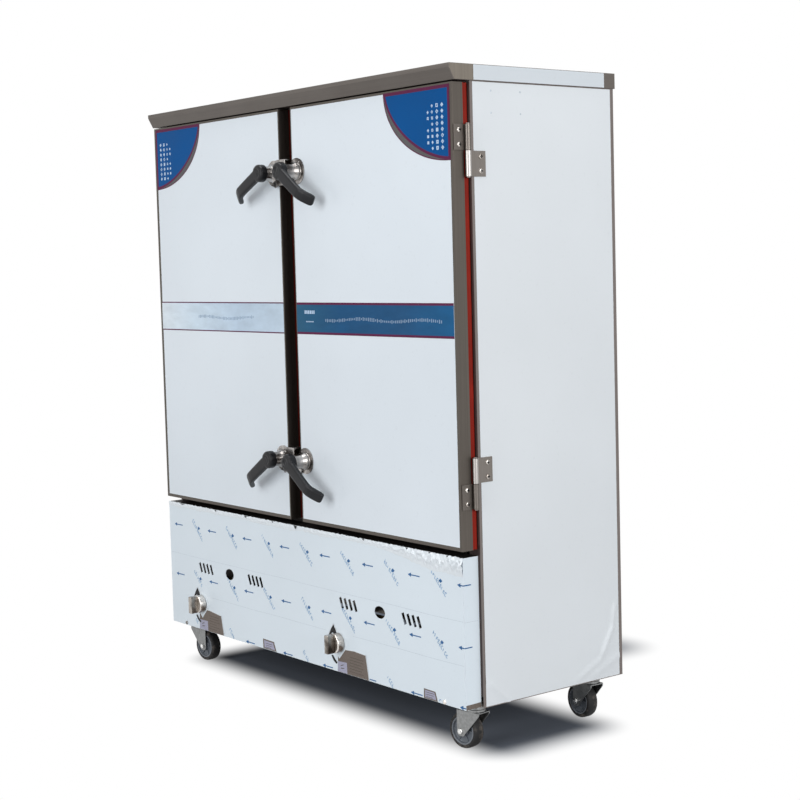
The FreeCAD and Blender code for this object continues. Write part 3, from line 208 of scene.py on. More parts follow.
def film(name, colour, roughness=0.36, ripple=0.0006):
    """Protective plastic film laid on steel, with slack ripples and pressed-in dust."""
    p = Paint(name, Specular_IOR_Level=0.45, Coat_Weight=0.25, Coat_Roughness=0.22)
    cloud = p.noise(1.6, detail=3)
    tint = p.ramp(cloud, [(0.3, scaled(colour, 0.955)), (0.7, scaled(colour, 1.02))])
    fleck = p.ramp(p.noise(90, detail=2), [(0.30, 0.975), (0.36, 1.0)])
    p.put(p.mix(1.0, tint, fleck, "MULTIPLY"), "Base Color")
    p.put(p.ramp(p.noise(7), [(0.3, roughness - 0.06), (0.7, roughness + 0.1)]), "Roughness")
    slack = p.bump(p.noise(3.2, (1, 1, 0.35), detail=2), ripple, 0.5)
    p.put(p.bump(p.noise(260, detail=1), 0.00003, 0.4, slack), "Normal")
    return p.mat


def steel(name, colour, grain="z", roughness=0.34, smudge=0.12):
    """Brushed stainless sheet whose grain runs along one axis."""
    p = Paint(name, Metallic=1.0)
    across = {"x": (1.5, 300, 300), "y": (300, 1.5, 300), "z": (300, 300, 1.5)}[grain]
    lines = p.noise(1.0, across, detail=5, roughness=0.7)
    stain = p.noise(5, detail=5)
    base = p.ramp(lines, [(0.25, scaled(colour, 0.80)), (0.75, scaled(colour, 1.12))])
    dull = p.ramp(stain, [(0.35, 1.0), (0.75, 1.0 - smudge)])
    p.put(p.mix(1.0, base, dull, "MULTIPLY"), "Base Color")
    rub = p.ramp(lines, [(0.2, roughness - 0.08), (0.8, roughness + 0.10)])
    p.put(p.mix(p.ramp(stain, [(0.4, 0.0), (0.8, 0.5)]), rub, (roughness + 0.18,) * 3), "Roughness")
    p.put(p.bump(lines, 0.00004, 0.5), "Normal")
    return p.mat


def face_steel(name, outer, middle):
    """Steel, darker where the doors and the cover keep the light off it: the middle post and the lower part."""
    p = Paint(name, Metallic=1.0)
    lines = p.noise(1.0, (300, 300, 1.5), detail=5, roughness=0.7)
    post = p.ramp(p.along("X", -0.2, 0.2), [(0.30, outer), (0.36, middle), (0.64, middle), (0.70, outer)])
    post = p.mix(p.ramp(p.along("Z", 0.50, 0.52), [(0.2, 1.0), (0.8, 0.0)]), post, middle)
    p.put(p.mix(1.0, post, p.ramp(lines, [(0.25, 0.82), (0.75, 1.1)]), "MULTIPLY"), "Base Color")
    p.put(p.ramp(lines, [(0.2, 0.46), (0.8, 0.60)]), "Roughness")
    p.put(p.bump(lines, 0.00004, 0.5), "Normal")
    return p.mat


def zinc(name, colour):
    """Plated steel with faint crystals, dulled in patches."""
    p = Paint(name, Metallic=1.0)
    spangle = p.cells(150)
    patch = p.noise(22, detail=6)
    base = p.ramp(spangle, [(0.0, scaled(colour, 1.1)), (0.8, scaled(colour, 0.82))])
    p.put(p.mix(p.ramp(patch, [(0.45, 0.0), (0.75, 0.45)]), base, scaled(colour, 0.62)), "Base Color")
    p.put(p.ramp(patch, [(0.3, 0.26), (0.7, 0.48)]), "Roughness")
    p.put(p.bump(p.noise(120, detail=4), 0.00006, 0.4), "Normal")
    return p.mat


def moulded(name, colour, roughness, grain=420, depth=0.00006, worn=None, specular=0.42):
    """Moulded plastic, rubber or silicone with a fine surface grain."""
    p = Paint(name, Specular_IOR_Level=specular)
    soft = p.noise(14, detail=4)
    tint = p.ramp(soft, [(0.3, scaled(colour, 0.82)), (0.72, scaled(colour, 1.18))])
    if worn:
        tint = p.mix(p.ramp(p.noise(46, detail=7), [(0.50, 0.0), (0.72, 0.75)]), tint, worn)
    p.put(tint, "Base Color")
    p.put(p.ramp(soft, [(0.25, roughness - 0.07), (0.75, roughness + 0.08)]), "Roughness")
    p.put(p.bump(p.noise(grain, detail=2), depth, 0.5), "Normal")
    return p.mat


def streaked(name, light, dark, scale):
    """Polished steel whose colour runs in bright and dark streaks: painted reflection."""
    p = Paint(name, Metallic=1.0)
    reflection_streaks = p.noise(scale, (1, 0.6, 0.8), detail=3, roughness=0.5)
    # The bright and dark streaks in the base colour are painted reflection.
    p.put(p.ramp(reflection_streaks, [(0.36, dark), (0.60, light)]), "Base Color")
    p.put(p.ramp(reflection_streaks, [(0.3, 0.30), (0.7, 0.16)]), "Roughness")
    p.put(p.bump(p.noise(90, detail=3), 0.00008, 0.4), "Normal")
    return p.mat


def cast(name, colour):
    p = Paint(name, Metallic=0.6)
    rust = p.ramp(p.noise(30, detail=8), [(0.52, scaled(colour, 1.0)), (0.7, (0.13, 0.055, 0.025))])
    p.put(rust, "Base Color")
    p.put(p.ramp(p.noise(60, detail=4), [(0.3, 0.62), (0.7, 0.85)]), "Roughness")
    p.put(p.bump(p.noise(180, detail=6), 0.0004, 0.6), "Normal")
    return p.mat


def printed(name, colour, roughness=0.4, glaze=0.06):
    """Flat printing ink or paper under a thin glaze."""
    p = Paint(name, Specular_IOR_Level=glaze, Coat_Weight=0.02, Coat_Roughness=0.15)
    grainy = p.noise(500, detail=2)
    broad = p.noise(9, detail=3)
    tint = p.ramp(grainy, [(0.35, scaled(colour, 0.80)), (0.65, scaled(colour, 1.22))])
    p.put(p.mix(p.ramp(broad, [(0.3, 0.0), (0.8, 0.35)]), tint, scaled(colour, 1.35)), "Base Color")
    p.put(p.ramp(broad, [(0.3, roughness), (0.7, roughness + 0.12)]), "Roughness")
    p.put(p.bump(p.noise(40, detail=3), 0.00008, 0.3), "Normal")
    return p.mat


def faded(name, stops, start, end):
    """Printing whose tint drifts along the width of a door."""
    p = Paint(name, Specular_IOR_Level=0.08, Coat_Weight=0.03, Coat_Roughness=0.15)
    drift = p.ramp(p.along("X", start * MM, end * MM), stops)
    cloud = p.ramp(p.noise(14, (1, 1, 3), detail=4), [(0.3, 0.90), (0.7, 1.08)])
    p.put(p.mix(1.0, drift, cloud, "MULTIPLY"), "Base Color")
    p.put(p.ramp(p.noise(9, detail=3), [(0.3, 0.34), (0.7, 0.46)]), "Roughness")
    p.put(p.bump(p.noise(40, detail=3), 0.00008, 0.3), "Normal")
    return p.mat


def foam(name, colour):
    p = Paint(name, Roughness=0.92)
    p.put(p.ramp(p.cells(300), [(0.1, scaled(colour, 0.8)), (0.6, colour)]), "Base Color")
    p.put(p.bump(p.cells(500), 0.0006, 0.6), "Normal")
    return p.mat


M = {
    "film": film("white_film", (0.690, 0.752, 0.810)),
    "side_film": film("side_film", (0.690, 0.730, 0.765), 0.42),
    "roof_film": film("roof_film", (0.595, 0.645, 0.690), 0.42),
    "cover_film": film("cover_film", (0.685, 0.765, 0.83), 0.34, 0.0007),
    "loose_film": film("loose_film", (0.72, 0.775, 0.82), 0.20, 0.0022),
    "fascia": steel("fascia_steel", (0.150, 0.134, 0.122), "x", 0.44),
    "frame_steel": steel("frame_steel", (0.112, 0.099, 0.087), "z", 0.42),
    # A lighter copy of the fascia steel, for the cornice ends: painted light.
    "lit_steel": steel("lit_steel", (0.205, 0.182, 0.155), "z", 0.40),
    "hollow_steel": face_steel("hollow_steel", (0.150, 0.135, 0.128), (0.075, 0.058, 0.056)),
    "edge_steel": steel("edge_steel", (0.205, 0.180, 0.170), "z", 0.34),
    "leaf_steel": steel("leaf_steel", (0.215, 0.195, 0.178), "z", 0.32),
    "panel_steel": steel("panel_steel", (0.42, 0.415, 0.40), "z", 0.36),
    "inner_steel": steel("inner_steel", (0.52, 0.52, 0.51), "x", 0.30),
    # Near-black brass for the gas valves, so the sight holes onto them stay dark: soot and painted shade.
    "sooty_brass": moulded("sooty_brass", (0.040, 0.030, 0.016), 0.7, specular=0.1),
    # Near-black steel: the water tank's colour, and painted shade on the burner cover's top faces.
    "sooty_steel": steel("sooty_steel", (0.045, 0.041, 0.038), "x", 0.55, 0.5),
    "patch_steel": printed("peeled_steel", (0.150, 0.124, 0.108), 0.42, 0.1),
    # polished, knob_rim, knob_steel and dark_screw carry painted reflection in their streaked colour; knob_rim is the
    # brightest copy, painted light for the knob discs and screw heads.
    "polished": streaked("polished_steel", (0.44, 0.42, 0.405), (0.075, 0.066, 0.062), 26),
    "knuckle": steel("knuckle_steel", (0.38, 0.365, 0.35), "z", 0.34),
    "door_leaf": steel("door_leaf_steel", (0.150, 0.134, 0.121), "x", 0.34),
    "bright": steel("bright_steel", (0.80, 0.80, 0.79), "z", 0.20, 0.1),
    "knob_rim": streaked("knob_rim", (0.74, 0.70, 0.66), (0.26, 0.22, 0.19), 30),
    "knob_steel": streaked("knob_steel", (0.44, 0.41, 0.375), (0.075, 0.062, 0.052), 34),
    "dark_screw": streaked("dark_screw", (0.30, 0.29, 0.28), (0.02, 0.02, 0.02), 220),
    "zinc": zinc("zinc_steel", (0.27, 0.275, 0.275)),
    "base_zinc": zinc("base_zinc", (0.13, 0.118, 0.108)),
    "iron": cast("cast_iron", (0.030, 0.029, 0.028)),
    "brass": steel("brass", (0.42, 0.31, 0.13), "y", 0.34, 0.4),
    "silicone": moulded("red_silicone", (0.225, 0.016, 0.009), 0.5, specular=0.06),
    "plastic": moulded("black_plastic", (0.0065, 0.0068, 0.0085), 0.36, 520, specular=0.26),
    "hub": moulded("hub_plastic", (0.098, 0.112, 0.132), 0.42),
    "hub_ring": moulded("hub_ring_plastic", (0.16, 0.175, 0.20), 0.40),
    "rubber": moulded("black_rubber", (0.016, 0.016, 0.0165), 0.62, 240, 0.00012, (0.165, 0.142, 0.124), 0.25),
    "foam": foam("insulation_foam", (0.72, 0.62, 0.40)),
    "ink_blue": printed("decal_blue", (0.002, 0.070, 0.240)),
    "ink_navy": printed("decal_navy", (0.020, 0.088, 0.195)),
    "ink_crimson": printed("decal_crimson", (0.100, 0.018, 0.056)),
    "ink_grey": printed("decal_grey", (0.100, 0.098, 0.100)),
    "ink_pale": printed("decal_pale", (0.44, 0.56, 0.72)),
    "ink_misty": faded("decal_misty", [(0.0, (0.68, 0.75, 0.81)), (0.3, (0.58, 0.69, 0.79)),
                                       (0.65, (0.47, 0.58, 0.70)), (1.0, (0.50, 0.61, 0.72))], -690, -32),
    "ink_band": faded("decal_band", [(0.0, (0.022, 0.100, 0.185)), (0.3, (0.010, 0.075, 0.185)),
                                     (0.7, (0.016, 0.080, 0.19)), (1.0, (0.012, 0.10, 0.24))], 32, 684),
    "ink_misty_dark": printed("decal_misty_dark", (0.23, 0.32, 0.44)),
    "ink_mark": printed("film_mark", (0.040, 0.130, 0.300), 0.4, 0.1),
    "ink_faint": printed("film_mark_faint", (0.185, 0.350, 0.56), 0.4, 0.1),
    "patch_ink": printed("patch_ink", (0.095, 0.082, 0.070), 0.42, 0.1),
    "lilac": printed("sticker_lilac", (0.34, 0.34, 0.44), 0.5, 0.2),
    # A slightly darker film tone: the spot welds, and painted crease shade on the cover film's fold lines.
    "scuff": printed("film_scuff_and_crease_shade", (0.52, 0.58, 0.64), 0.4, 0.2),
    # Near-black for the cross recesses and for the film's gaps and tears: painted shade.
    "pit": moulded("painted_shade_black", (0.004, 0.004, 0.005), 0.8),
}


# Meshes


def add_piece(name, verts, faces, material, body, slot=None, smooth=35.0, replaces=()):
    """A new piece from points in metres, riding on a body."""
    mesh = bpy.data.meshes.new(name)
    mesh.from_pydata([tuple(v) for v in verts], [], faces)
    mesh.validate()
    materials = material if isinstance(material, (list, tuple)) else [material]
    for each in materials:
        mesh.materials.append(M[each])
    obj = bpy.data.objects.new(name, mesh)
    bpy.context.scene.collection.objects.link(obj)
    tidy_normals(mesh, smooth)
    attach(obj, body)
    if replaces:
        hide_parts(*replaces)
    return obj


def tidy_normals(mesh, angle):
    bm = bmesh.new()
    bm.from_mesh(mesh)
    bmesh.ops.recalc_face_normals(bm, faces=bm.faces)
    limit = math.radians(angle)
    for face in bm.faces:
        face.smooth = angle > 0
    for edge in bm.edges:
        edge.smooth = len(edge.link_faces) != 2 or edge.calc_face_angle(0) < limit
    bm.to_mesh(mesh)
    bm.free()


def bevel(obj, width, segments=3, angle=30):
    mod = obj.modifiers.new("edges", "BEVEL")
    mod.width = width * MM
    mod.segments = segments
    mod.limit_method = "ANGLE"
    mod.angle_limit = math.radians(angle)
    mod.use_clamp_overlap = True
    mod.harden_normals = True
    return obj


def soften(node, material, slot, body, width=0.5, segments=2, name=None):
    """A copy of a CAD node with rolled edges, which stands for it."""
    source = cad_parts[node].data
    bm = bmesh.new()
    bm.from_mesh(source)
    bmesh.ops.remove_doubles(bm, verts=bm.verts, dist=2e-6)
    bmesh.ops.dissolve_limit(bm, angle_limit=math.radians(0.6), verts=bm.verts, edges=bm.edges,
                             use_dissolve_boundaries=False)
    verts = [v.co.copy() for v in bm.verts]
    faces = [[v.index for v in f.verts] for f in bm.faces]
    bm.free()
    obj = add_piece(name or f"{node}_finish", verts, faces, material, body, slot, 28, (node,))
    return bevel(obj, width, segments)


class Shape:
    """Points and faces gathered from several forms into one piece."""

    def __init__(self):
        self.verts = []
        self.faces = []

    def add(self, verts, faces):
        start = len(self.verts)
        self.verts += [Vector(v) for v in verts]
        self.faces += [[start + i for i in face] for face in faces]
        return self

    def moved(self, turn):
        self.verts = [turn @ v for v in self.verts]
        return self


def frame_of(axis):
    """Two directions square to an axis, right-handed with it."""
    axis = Vector(axis).normalized()
    aside = Vector((0, 0, 1)) if abs(axis.z) < 0.9 else Vector((1, 0, 0))
    u = aside.cross(axis).normalized()
    return u, axis.cross(u), axis


def lathe(profile, centre, axis, steps=48):
    """A form turned round an axis, from (radius, distance) pairs in millimetres."""
    u, v, w = frame_of(axis)
    verts, faces = [], []
    for radius, distance in profile:
        for i in range(steps):
            a = 2 * math.pi * i / steps
            spoke = u * math.cos(a) + v * math.sin(a)
            verts.append(Vector(centre) + (spoke * radius + w * distance) * MM)
    for ring in range(len(profile) - 1):
        for i in range(steps):
            j = (i + 1) % steps
            faces.append([ring * steps + i, ring * steps + j, (ring + 1) * steps + j, (ring + 1) * steps + i])
    if profile[0][0] > 0:
        faces.append(list(range(steps))[::-1])
    if profile[-1][0] > 0:
        faces.append([(len(profile) - 1) * steps + i for i in range(steps)])
    return verts, faces


def turned_ring(profile, centre, axis, steps=64):
    """As lathe, for a closed profile that doesn't reach the axis."""
    u, v, w = frame_of(axis)
    verts, faces = [], []
    count = len(profile)
    for i in range(steps):
        a = 2 * math.pi * i / steps
        spoke = u * math.cos(a) + v * math.sin(a)
        verts += [Vector(centre) + (spoke * radius + w * distance) * MM for radius, distance in profile]
    for i in range(steps):
        for k in range(count):
            a, b = i * count + k, i * count + (k + 1) % count
            c, d = ((i + 1) % steps) * count + (k + 1) % count, ((i + 1) % steps) * count + k
            faces.append([a, b, c, d])
    return verts, faces


def slab(low, high):
    """A block between two corners given as points in metres."""
    (x0, y0, z0), (x1, y1, z1) = low, high
    verts = [Vector(p) for p in ((x0, y0, z0), (x1, y0, z0), (x1, y1, z0), (x0, y1, z0),
                                 (x0, y0, z1), (x1, y0, z1), (x1, y1, z1), (x0, y1, z1))]
    faces = [[0, 3, 2, 1], [4, 5, 6, 7], [0, 1, 5, 4], [1, 2, 6, 5], [2, 3, 7, 6], [3, 0, 4, 7]]
    return verts, faces


def prism(outline, place, depth):
    """A plate from an outline of (a, b) pairs; place(a, b, d) gives each point."""
    count = len(outline)
    verts = [place(a, b, 0) for a, b in outline] + [place(a, b, depth) for a, b in outline]
    faces = [list(range(count))[::-1], [count + i for i in range(count)]]
    faces += [[i, (i + 1) % count, count + (i + 1) % count, count + i] for i in range(count)]
    return verts, faces


def sheet_grid(place, us, vs):
    """An open sheet over the grid us by vs; place(u, v) gives each point."""
    verts = [place(u, v) for v in vs for u in us]
    wide = len(us)
    faces = [[r * wide + c, r * wide + c + 1, (r + 1) * wide + c + 1, (r + 1) * wide + c]
             for r in range(len(vs) - 1) for c in range(wide - 1)]
    return verts, faces


def spaced(low, high, count):
    return [low + (high - low) * i / (count - 1) for i in range(count)]


def wobble(x, y, z, size, seed=0.0):
    """Smooth noise from -1 to 1 over lengths of about size millimetres."""
    return noise.noise(Vector((x / size + seed, y / size - seed, z / size + 2 * seed)))


def domed_bolt(shape, centre, axis, radius, height):
    """A domed screw head that stands on centre along axis."""
    profile = [(radius * 0.98, 0), (radius, height * 0.12)]
    for i in range(1, 7):
        a = math.pi / 2 * i / 6
        profile.append((max(radius * math.cos(a), 0.02), height * (0.15 + 0.85 * math.sin(a))))
    shape.add(*lathe(profile, centre, axis, 24))
    return shape


def cross_slot(shape, centre, axis, radius, height):
    """Two dark bars, painted shade, that stand for the shaded cross recess of a domed head."""
    u, v, w = frame_of(axis)
    for first, second in ((u, v), (v, u)):
        rise = w * (height + 0.15) * MM
        ends = [Vector(centre) + first * radius * 0.72 * s * MM + second * radius * 0.24 * k * MM
                for s, k in ((-1, -1), (1, -1), (1, 1), (-1, 1))]
        inner = [Vector(centre) + first * radius * 0.72 * s * 0.5 * MM + second * radius * 0.24 * k * MM + rise
                 for s, k in ((-1, -1), (1, -1), (1, 1), (-1, 1))]
        low = [p + w * height * 0.72 * MM for p in ends]
        shape.add(low + inner, [[4, 5, 6, 7], [0, 1, 5, 4], [1, 2, 6, 5], [2, 3, 7, 6], [3, 0, 4, 7]])
    return shape


def hex_nut(shape, centre, axis, across, height):
    u, v, w = frame_of(axis)
    rings = []
    for scale, d in ((0.93, 0), (1, height * 0.14), (1, height * 0.86), (0.93, height)):
        rings.append([Vector(centre) + (u * math.cos(math.pi / 3 * i) + v * math.sin(math.pi / 3 * i)) * across * scale * MM
                      + w * d * MM for i in range(6)])
    verts = [p for ring in rings for p in ring]
    faces = [[0, 5, 4, 3, 2, 1], [18, 19, 20, 21, 22, 23]]
    for r in range(3):
        faces += [[r * 6 + i, r * 6 + (i + 1) % 6, (r + 1) * 6 + (i + 1) % 6, (r + 1) * 6 + i] for i in range(6)]
    shape.add(verts, faces)
    return shape


# Carried-over solids


def finish_solids():
    """Give every CAD node its material, and rolled edges where they show."""
    plain = {
        "base_frame": "base_zinc", "left_chamber_liner": "inner_steel", "right_chamber_liner": "inner_steel",
        # The water tank and the gas valves take the near-black steel and brass; on the valves the dark is soot and
        # painted shade.
        "foam_insulation": "foam", "tray_rails": "inner_steel", "water_tank": "sooty_steel", "burners": "iron",
        "gas_manifold": "base_zinc", "gas_valves": "sooty_brass", "caster_plates": "zinc", "caster_plate_bolts": "zinc",
        "left_door_foam_core": "foam", "right_door_foam_core": "foam",
        "left_door_inner_skin": "inner_steel", "right_door_inner_skin": "inner_steel",
    }
    for node, material in plain.items():
        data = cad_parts[node].data
        data.materials.clear()
        data.materials.append(M[material])
    soft = [
        ("roof_cap", "fascia", "dark_steel", "cabinet", 1.2),
        ("front_frame", "hollow_steel", "bare_steel", "cabinet", 0.4),
        ("left_side_panel", "edge_steel", "film_steel", "cabinet", 0.5),
        ("right_side_panel", "edge_steel", "film_steel", "cabinet", 0.5),
        ("rear_panel", "panel_steel", "bare_steel", "cabinet", 0.4),
        ("flue_outlet", "panel_steel", "bare_steel", "cabinet", 0.6),
        ("water_fittings", "brass", "brass", "cabinet", 0.5),
        ("burner_cover", "cover_film", "blue_film_steel", "cabinet", 1.0),
        ("latch_keepers", "polished", "bare_steel", "cabinet", 0.8),
        ("cabinet_hinge_leaves", "leaf_steel", "bare_steel", "cabinet", 0.5),
        ("hinge_pins", "edge_steel", "bare_steel", "cabinet", 0.6),
    ]
    for side, _ in SIDES:
        soft += [
            (f"{side}_door_outer_shell", "frame_steel", "film_steel", f"{side}_door", 0.9),
            (f"{side}_door_hinge_leaves", "door_leaf", "bare_steel", f"{side}_door", 0.5),
            (f"{side}_door_latch_flanges", "polished", "bare_steel", f"{side}_door", 1.0),
        ]
        for level in LATCH_Z:
            soft.append((f"{level}_{side}_latch_cam", "polished", "bare_steel", f"{level}_{side}_latch", 1.2))
    for node, material, slot, body, width in soft:
        obj = soften(node, material, slot, body, width)
        if node == "cabinet_hinge_leaves":
            obj.data.materials.append(M["knuckle"])
            for face in obj.data.polygons:
                face.material_index = int(abs(face.center.x) > 0.7031 and face.center.y < FACE_Y - 0.001)
        # The cover's upward top faces take the near-black steel: painted shade under the doors.
        if node == "burner_cover":
            obj.data.materials.append(M["sooty_steel"])
            for face in obj.data.polygons:
                face.material_index = int(face.normal.z > 0.9 and face.center.z > 0.48)


# Films and printing on the doors and panels


def door_film(side, sign):
    """Protective film on a door's face, a little short of its edges."""
    low, high = (-682, -32) if side == "left" else (32, 685)
    us, vs = spaced(low, high, 60), spaced(512, 1600, 90)

    def place(x, z):
        edge = min(x - low, high - x, z - 512, 1600 - z)
        lift = 0.18 + 0.10 * wobble(x, 0, z, 160, sign) + 0.05 * wobble(x, 0, z, 30, sign)
        if edge < 12:
            lift += 0.25 * (1 - edge / 12) * abs(wobble(x, 3, z, 45, sign))
        return at(x, DOOR_FRONT - lift, z)

    add_piece(f"{side}_door_film", *sheet_grid(place, us, vs), "film", f"{side}_door", "film_steel", 60)


def side_film(side, sign):
    """Film on a side panel, creased near its lower rear corner, over four spot welds near the top."""
    us, vs = spaced(8, 461, 92), spaced(120, 1608, 190)
    ridges = (((300, 126), (392, 168), 2.6, 6), ((392, 168), (438, 246), 4.6, 6), ((438, 246), (447, 300), 3.6, 5),
              ((352, 127), (462, 170), 2.6, 6), ((8, 184), (80, 121), 4.0, 5))

    def place(y, z):
        lift = 0.2 + 0.16 * wobble(y, 0, z, 150, 3 * sign) + 0.05 * wobble(y, 0, z, 28, sign)
        for (y0, z0), (y1, z1), height, width in ridges:
            run = Vector((y1 - y0, z1 - z0))
            off = Vector((y - y0, z - z0))
            t = off.dot(run) / run.length_squared
            away = abs(off.x * run.y - off.y * run.x) / run.length
            if -0.05 < t < 1.05:
                lift += height * math.exp(-(away / width) ** 2) * min(1, 4 * max(t, 0.03))
        return at(sign * (HALF_WIDTH + lift), y, z)

    add_piece(f"{side}_panel_film", *sheet_grid(place, us, vs), "side_film", "cabinet", "film_steel", 60)
    dots = Shape()
    for y in (65, 158):
        for z in (1537, 1588.5):
            dots.add(*lathe([(2.6, 0), (2.0, 0.3), (0.1, 0.4)], at(sign * (HALF_WIDTH + 0.45), y, z), (sign, 0, 0), 14))
    add_piece(f"{side}_panel_spot_welds", dots.verts, dots.faces, "scuff", "cabinet", "film_steel", 40)


def roof_sides(side, sign):
    """Film on the end of the roof pan, and the bare end of its cornice in front of it."""
    us, vs = spaced(10, 438, 40), spaced(1611.5, 1646.8, 6)

    def place(y, z):
        return at(sign * (703 + 0.2 + 0.12 * wobble(y, 0, z, 60, sign)), y, z)

    add_piece(f"{side}_roof_film", *sheet_grid(place, us, vs), "roof_film", "cabinet", "film_steel", 60)
    # The cornice end takes a lighter copy of the fascia steel: painted light.
    outline = [(-48.5, 1611), (-63, 1638.3), (-63, 1647), (10, 1647), (10, 1611)]
    add_piece(f"{side}_cornice_end", [at(sign * 703.2, y, z) for y, z in outline], [[0, 1, 2, 3, 4]], "lit_steel",
              "cabinet", "dark_steel", 0)


def on_door(x, z, lift):
    return at(x, DOOR_FRONT - 0.42 - lift, z)


def decal(name, outline, material, body, lift=0.05):
    """A flat patch of ink laid on the door film."""
    points = [on_door(x, z, lift) for x, z in outline]
    add_piece(name, points, [list(range(len(points)))], material, body, "film_steel", 0)


def arc(cx, cz, radius_x, radius_z, start, end, count=24):
    return [(cx + radius_x * math.cos(math.radians(start + (end - start) * i / count)),
             cz + radius_z * math.sin(math.radians(start + (end - start) * i / count))) for i in range(count + 1)]


def quarter(cx, cz, sign, wide, tall, power, inset=0.0, count=32):
    """A rounded corner patch: power 2 gives a quarter ellipse and less a flatter one."""
    corner = (cx - sign * inset, cz - inset)
    points = [corner]
    for i in range(count + 1):
        a = math.pi / 2 * i / count
        dx = (wide - inset) * math.cos(a) ** (2 / power)
        dz = (tall - inset) * math.sin(a) ** (2 / power)
        points.append((cx - sign * max(dx, inset), cz - max(dz, inset)))
    return points


def corner_decal(side, sign):
    """A corner patch: a blue field and a grey crescent, each with a crimson edge, and small pale diamonds."""
    cx, cz = sign * 686, 1602
    body = f"{side}_door"
    layers = (("edge", 253, 177, 2.0, 0.0, "ink_crimson", 0.0), ("crescent", 253, 177, 2.0, 2.5, "ink_grey", 0.04),
              ("field_edge", 252, 176, 1.68, 1.0, "ink_crimson", 0.08),
              ("field", 252, 176, 1.68, 8.0, "ink_blue", 0.12))
    for label, wide, tall, power, inset, ink, lift in layers:
        decal(f"{side}_corner_decal_{label}", quarter(cx, cz, sign, wide, tall, power, inset), ink, body, lift)
    marks = Shape()
    rng = random.Random(3)
    for column, thinned, half in ((658, 0.0, 5.4), (639, 0.0, 5.4), (621, 0.5, 4.2), (605, 0.55, 4.2)):
        for k in range(8):
            if rng.random() < thinned:
                continue
            x, z = sign * column, 1556 - 14.2 * k
            ring = [(half, 0), (0, half), (-half, 0), (0, -half)]
            if rng.random() < 0.4:
                ring = [(half * 0.8, half * 0.8), (-half * 0.8, half * 0.8), (-half * 0.8, -half * 0.8),
                        (half * 0.8, -half * 0.8)]
            inner = 0.45 * rng.random()
            points = [on_door(x + a, z + b, 0.17) for a, b in ring]
            points += [on_door(x + a * inner, z + b * inner, 0.17) for a, b in ring]
            marks.add(points, [[i, (i + 1) % 4, 4 + (i + 1) % 4, 4 + i] for i in range(4)])
    add_piece(f"{side}_corner_decal_diamonds", marks.verts, marks.faces, "ink_pale", body, "film_steel", 0)


def band_decal(side, sign):
    """A level band across a door: crimson lines along a field, with rows of plain bars."""
    x0, x1 = sorted((sign * 32, sign * 684))
    body = f"{side}_door"
    right = side == "right"
    line = 6.0 if right else 3.2
    decal(f"{side}_band_edge", [(x0, 1008), (x1, 1008), (x1, 1092), (x0, 1092)], "ink_crimson", body, 0.0)
    low, high = 1008 + line, 1092 - line
    decal(f"{side}_band_field", [(x0, low), (x1, low), (x1, high), (x0, high)], "ink_band" if right else "ink_misty",
          body, 0.05)
    bars = Shape()
    rng = random.Random(11)
    x = x0 + (130 if right else 210)
    while x < x1 - (45 if right else 150):
        tall = rng.choice((5, 7, 9))
        base = 1048 - tall / 2 + 3 * math.sin(x / 40)
        outline = ((x, base), (x + 3.6, base), (x + 3.6, base + tall), (x, base + tall))
        bars.add([on_door(*p, 0.1) for p in outline], [[0, 1, 2, 3]])
        x += 7.4
    add_piece(f"{side}_band_bars", bars.verts, bars.faces, "ink_misty_dark", body, "film_steel", 0)
    if right:
        dashes = Shape()
        for z, start, end, tall in ((1062, 68, 116, 9), (1040, 74, 110, 3)):
            step = 8 if tall > 5 else 5
            for k in range(int((end - start) / step)):
                a = start + step * k
                outline = ((a, z), (a + step * 0.7, z), (a + step * 0.7, z + tall), (a, z + tall))
                dashes.add([on_door(*p, 0.1) for p in outline], [[0, 1, 2, 3]])
        add_piece("right_band_dashes", dashes.verts, dashes.faces, "ink_pale", body, "film_steel", 0)


def door_details():
    for side, sign in SIDES:
        door_film(side, sign)
        side_film(side, sign)
        roof_sides(side, sign)
        corner_decal(side, sign)
        band_decal(side, sign)
        gasket(side, sign)


def gasket(side, sign):
    """A hollow-bulb seal that runs round the back of a door."""
    x0, x1 = (DOOR_INNER + 0.5, DOOR_OUTER - 0.5)
    z0, z1 = (DOOR_BOTTOM + 0.5, DOOR_TOP - 0.5)
    profile = [(0.0, DOOR_BACK), (0.0, -13.2), (1.6, -12.4), (1.2, -9.5), (0.1, -6.5), (0.9, -3.4), (3.6, -1.2),
               (7.0, -0.35), (10.4, -1.2), (13.1, -3.4), (13.9, -6.5), (12.8, -9.5), (12.4, -12.4),
               (14.0, -13.2), (14.0, DOOR_BACK)]
    verts, faces = [], []
    for inset, y in profile:
        for x, z in ((x0 + inset, z0 + inset), (x1 - inset, z0 + inset), (x1 - inset, z1 - inset), (x0 + inset, z1 - inset)):
            verts.append(at(sign * x, y, z))
    for k in range(len(profile) - 1):
        for i in range(4):
            j = (i + 1) % 4
            faces.append([k * 4 + i, k * 4 + j, (k + 1) * 4 + j, (k + 1) * 4 + i])
    add_piece(f"{side}_gasket_bulb", verts, faces, "silicone", f"{side}_door", "red_silicone", 50,
              (f"{side}_door_gasket",))


# Bolts and screws


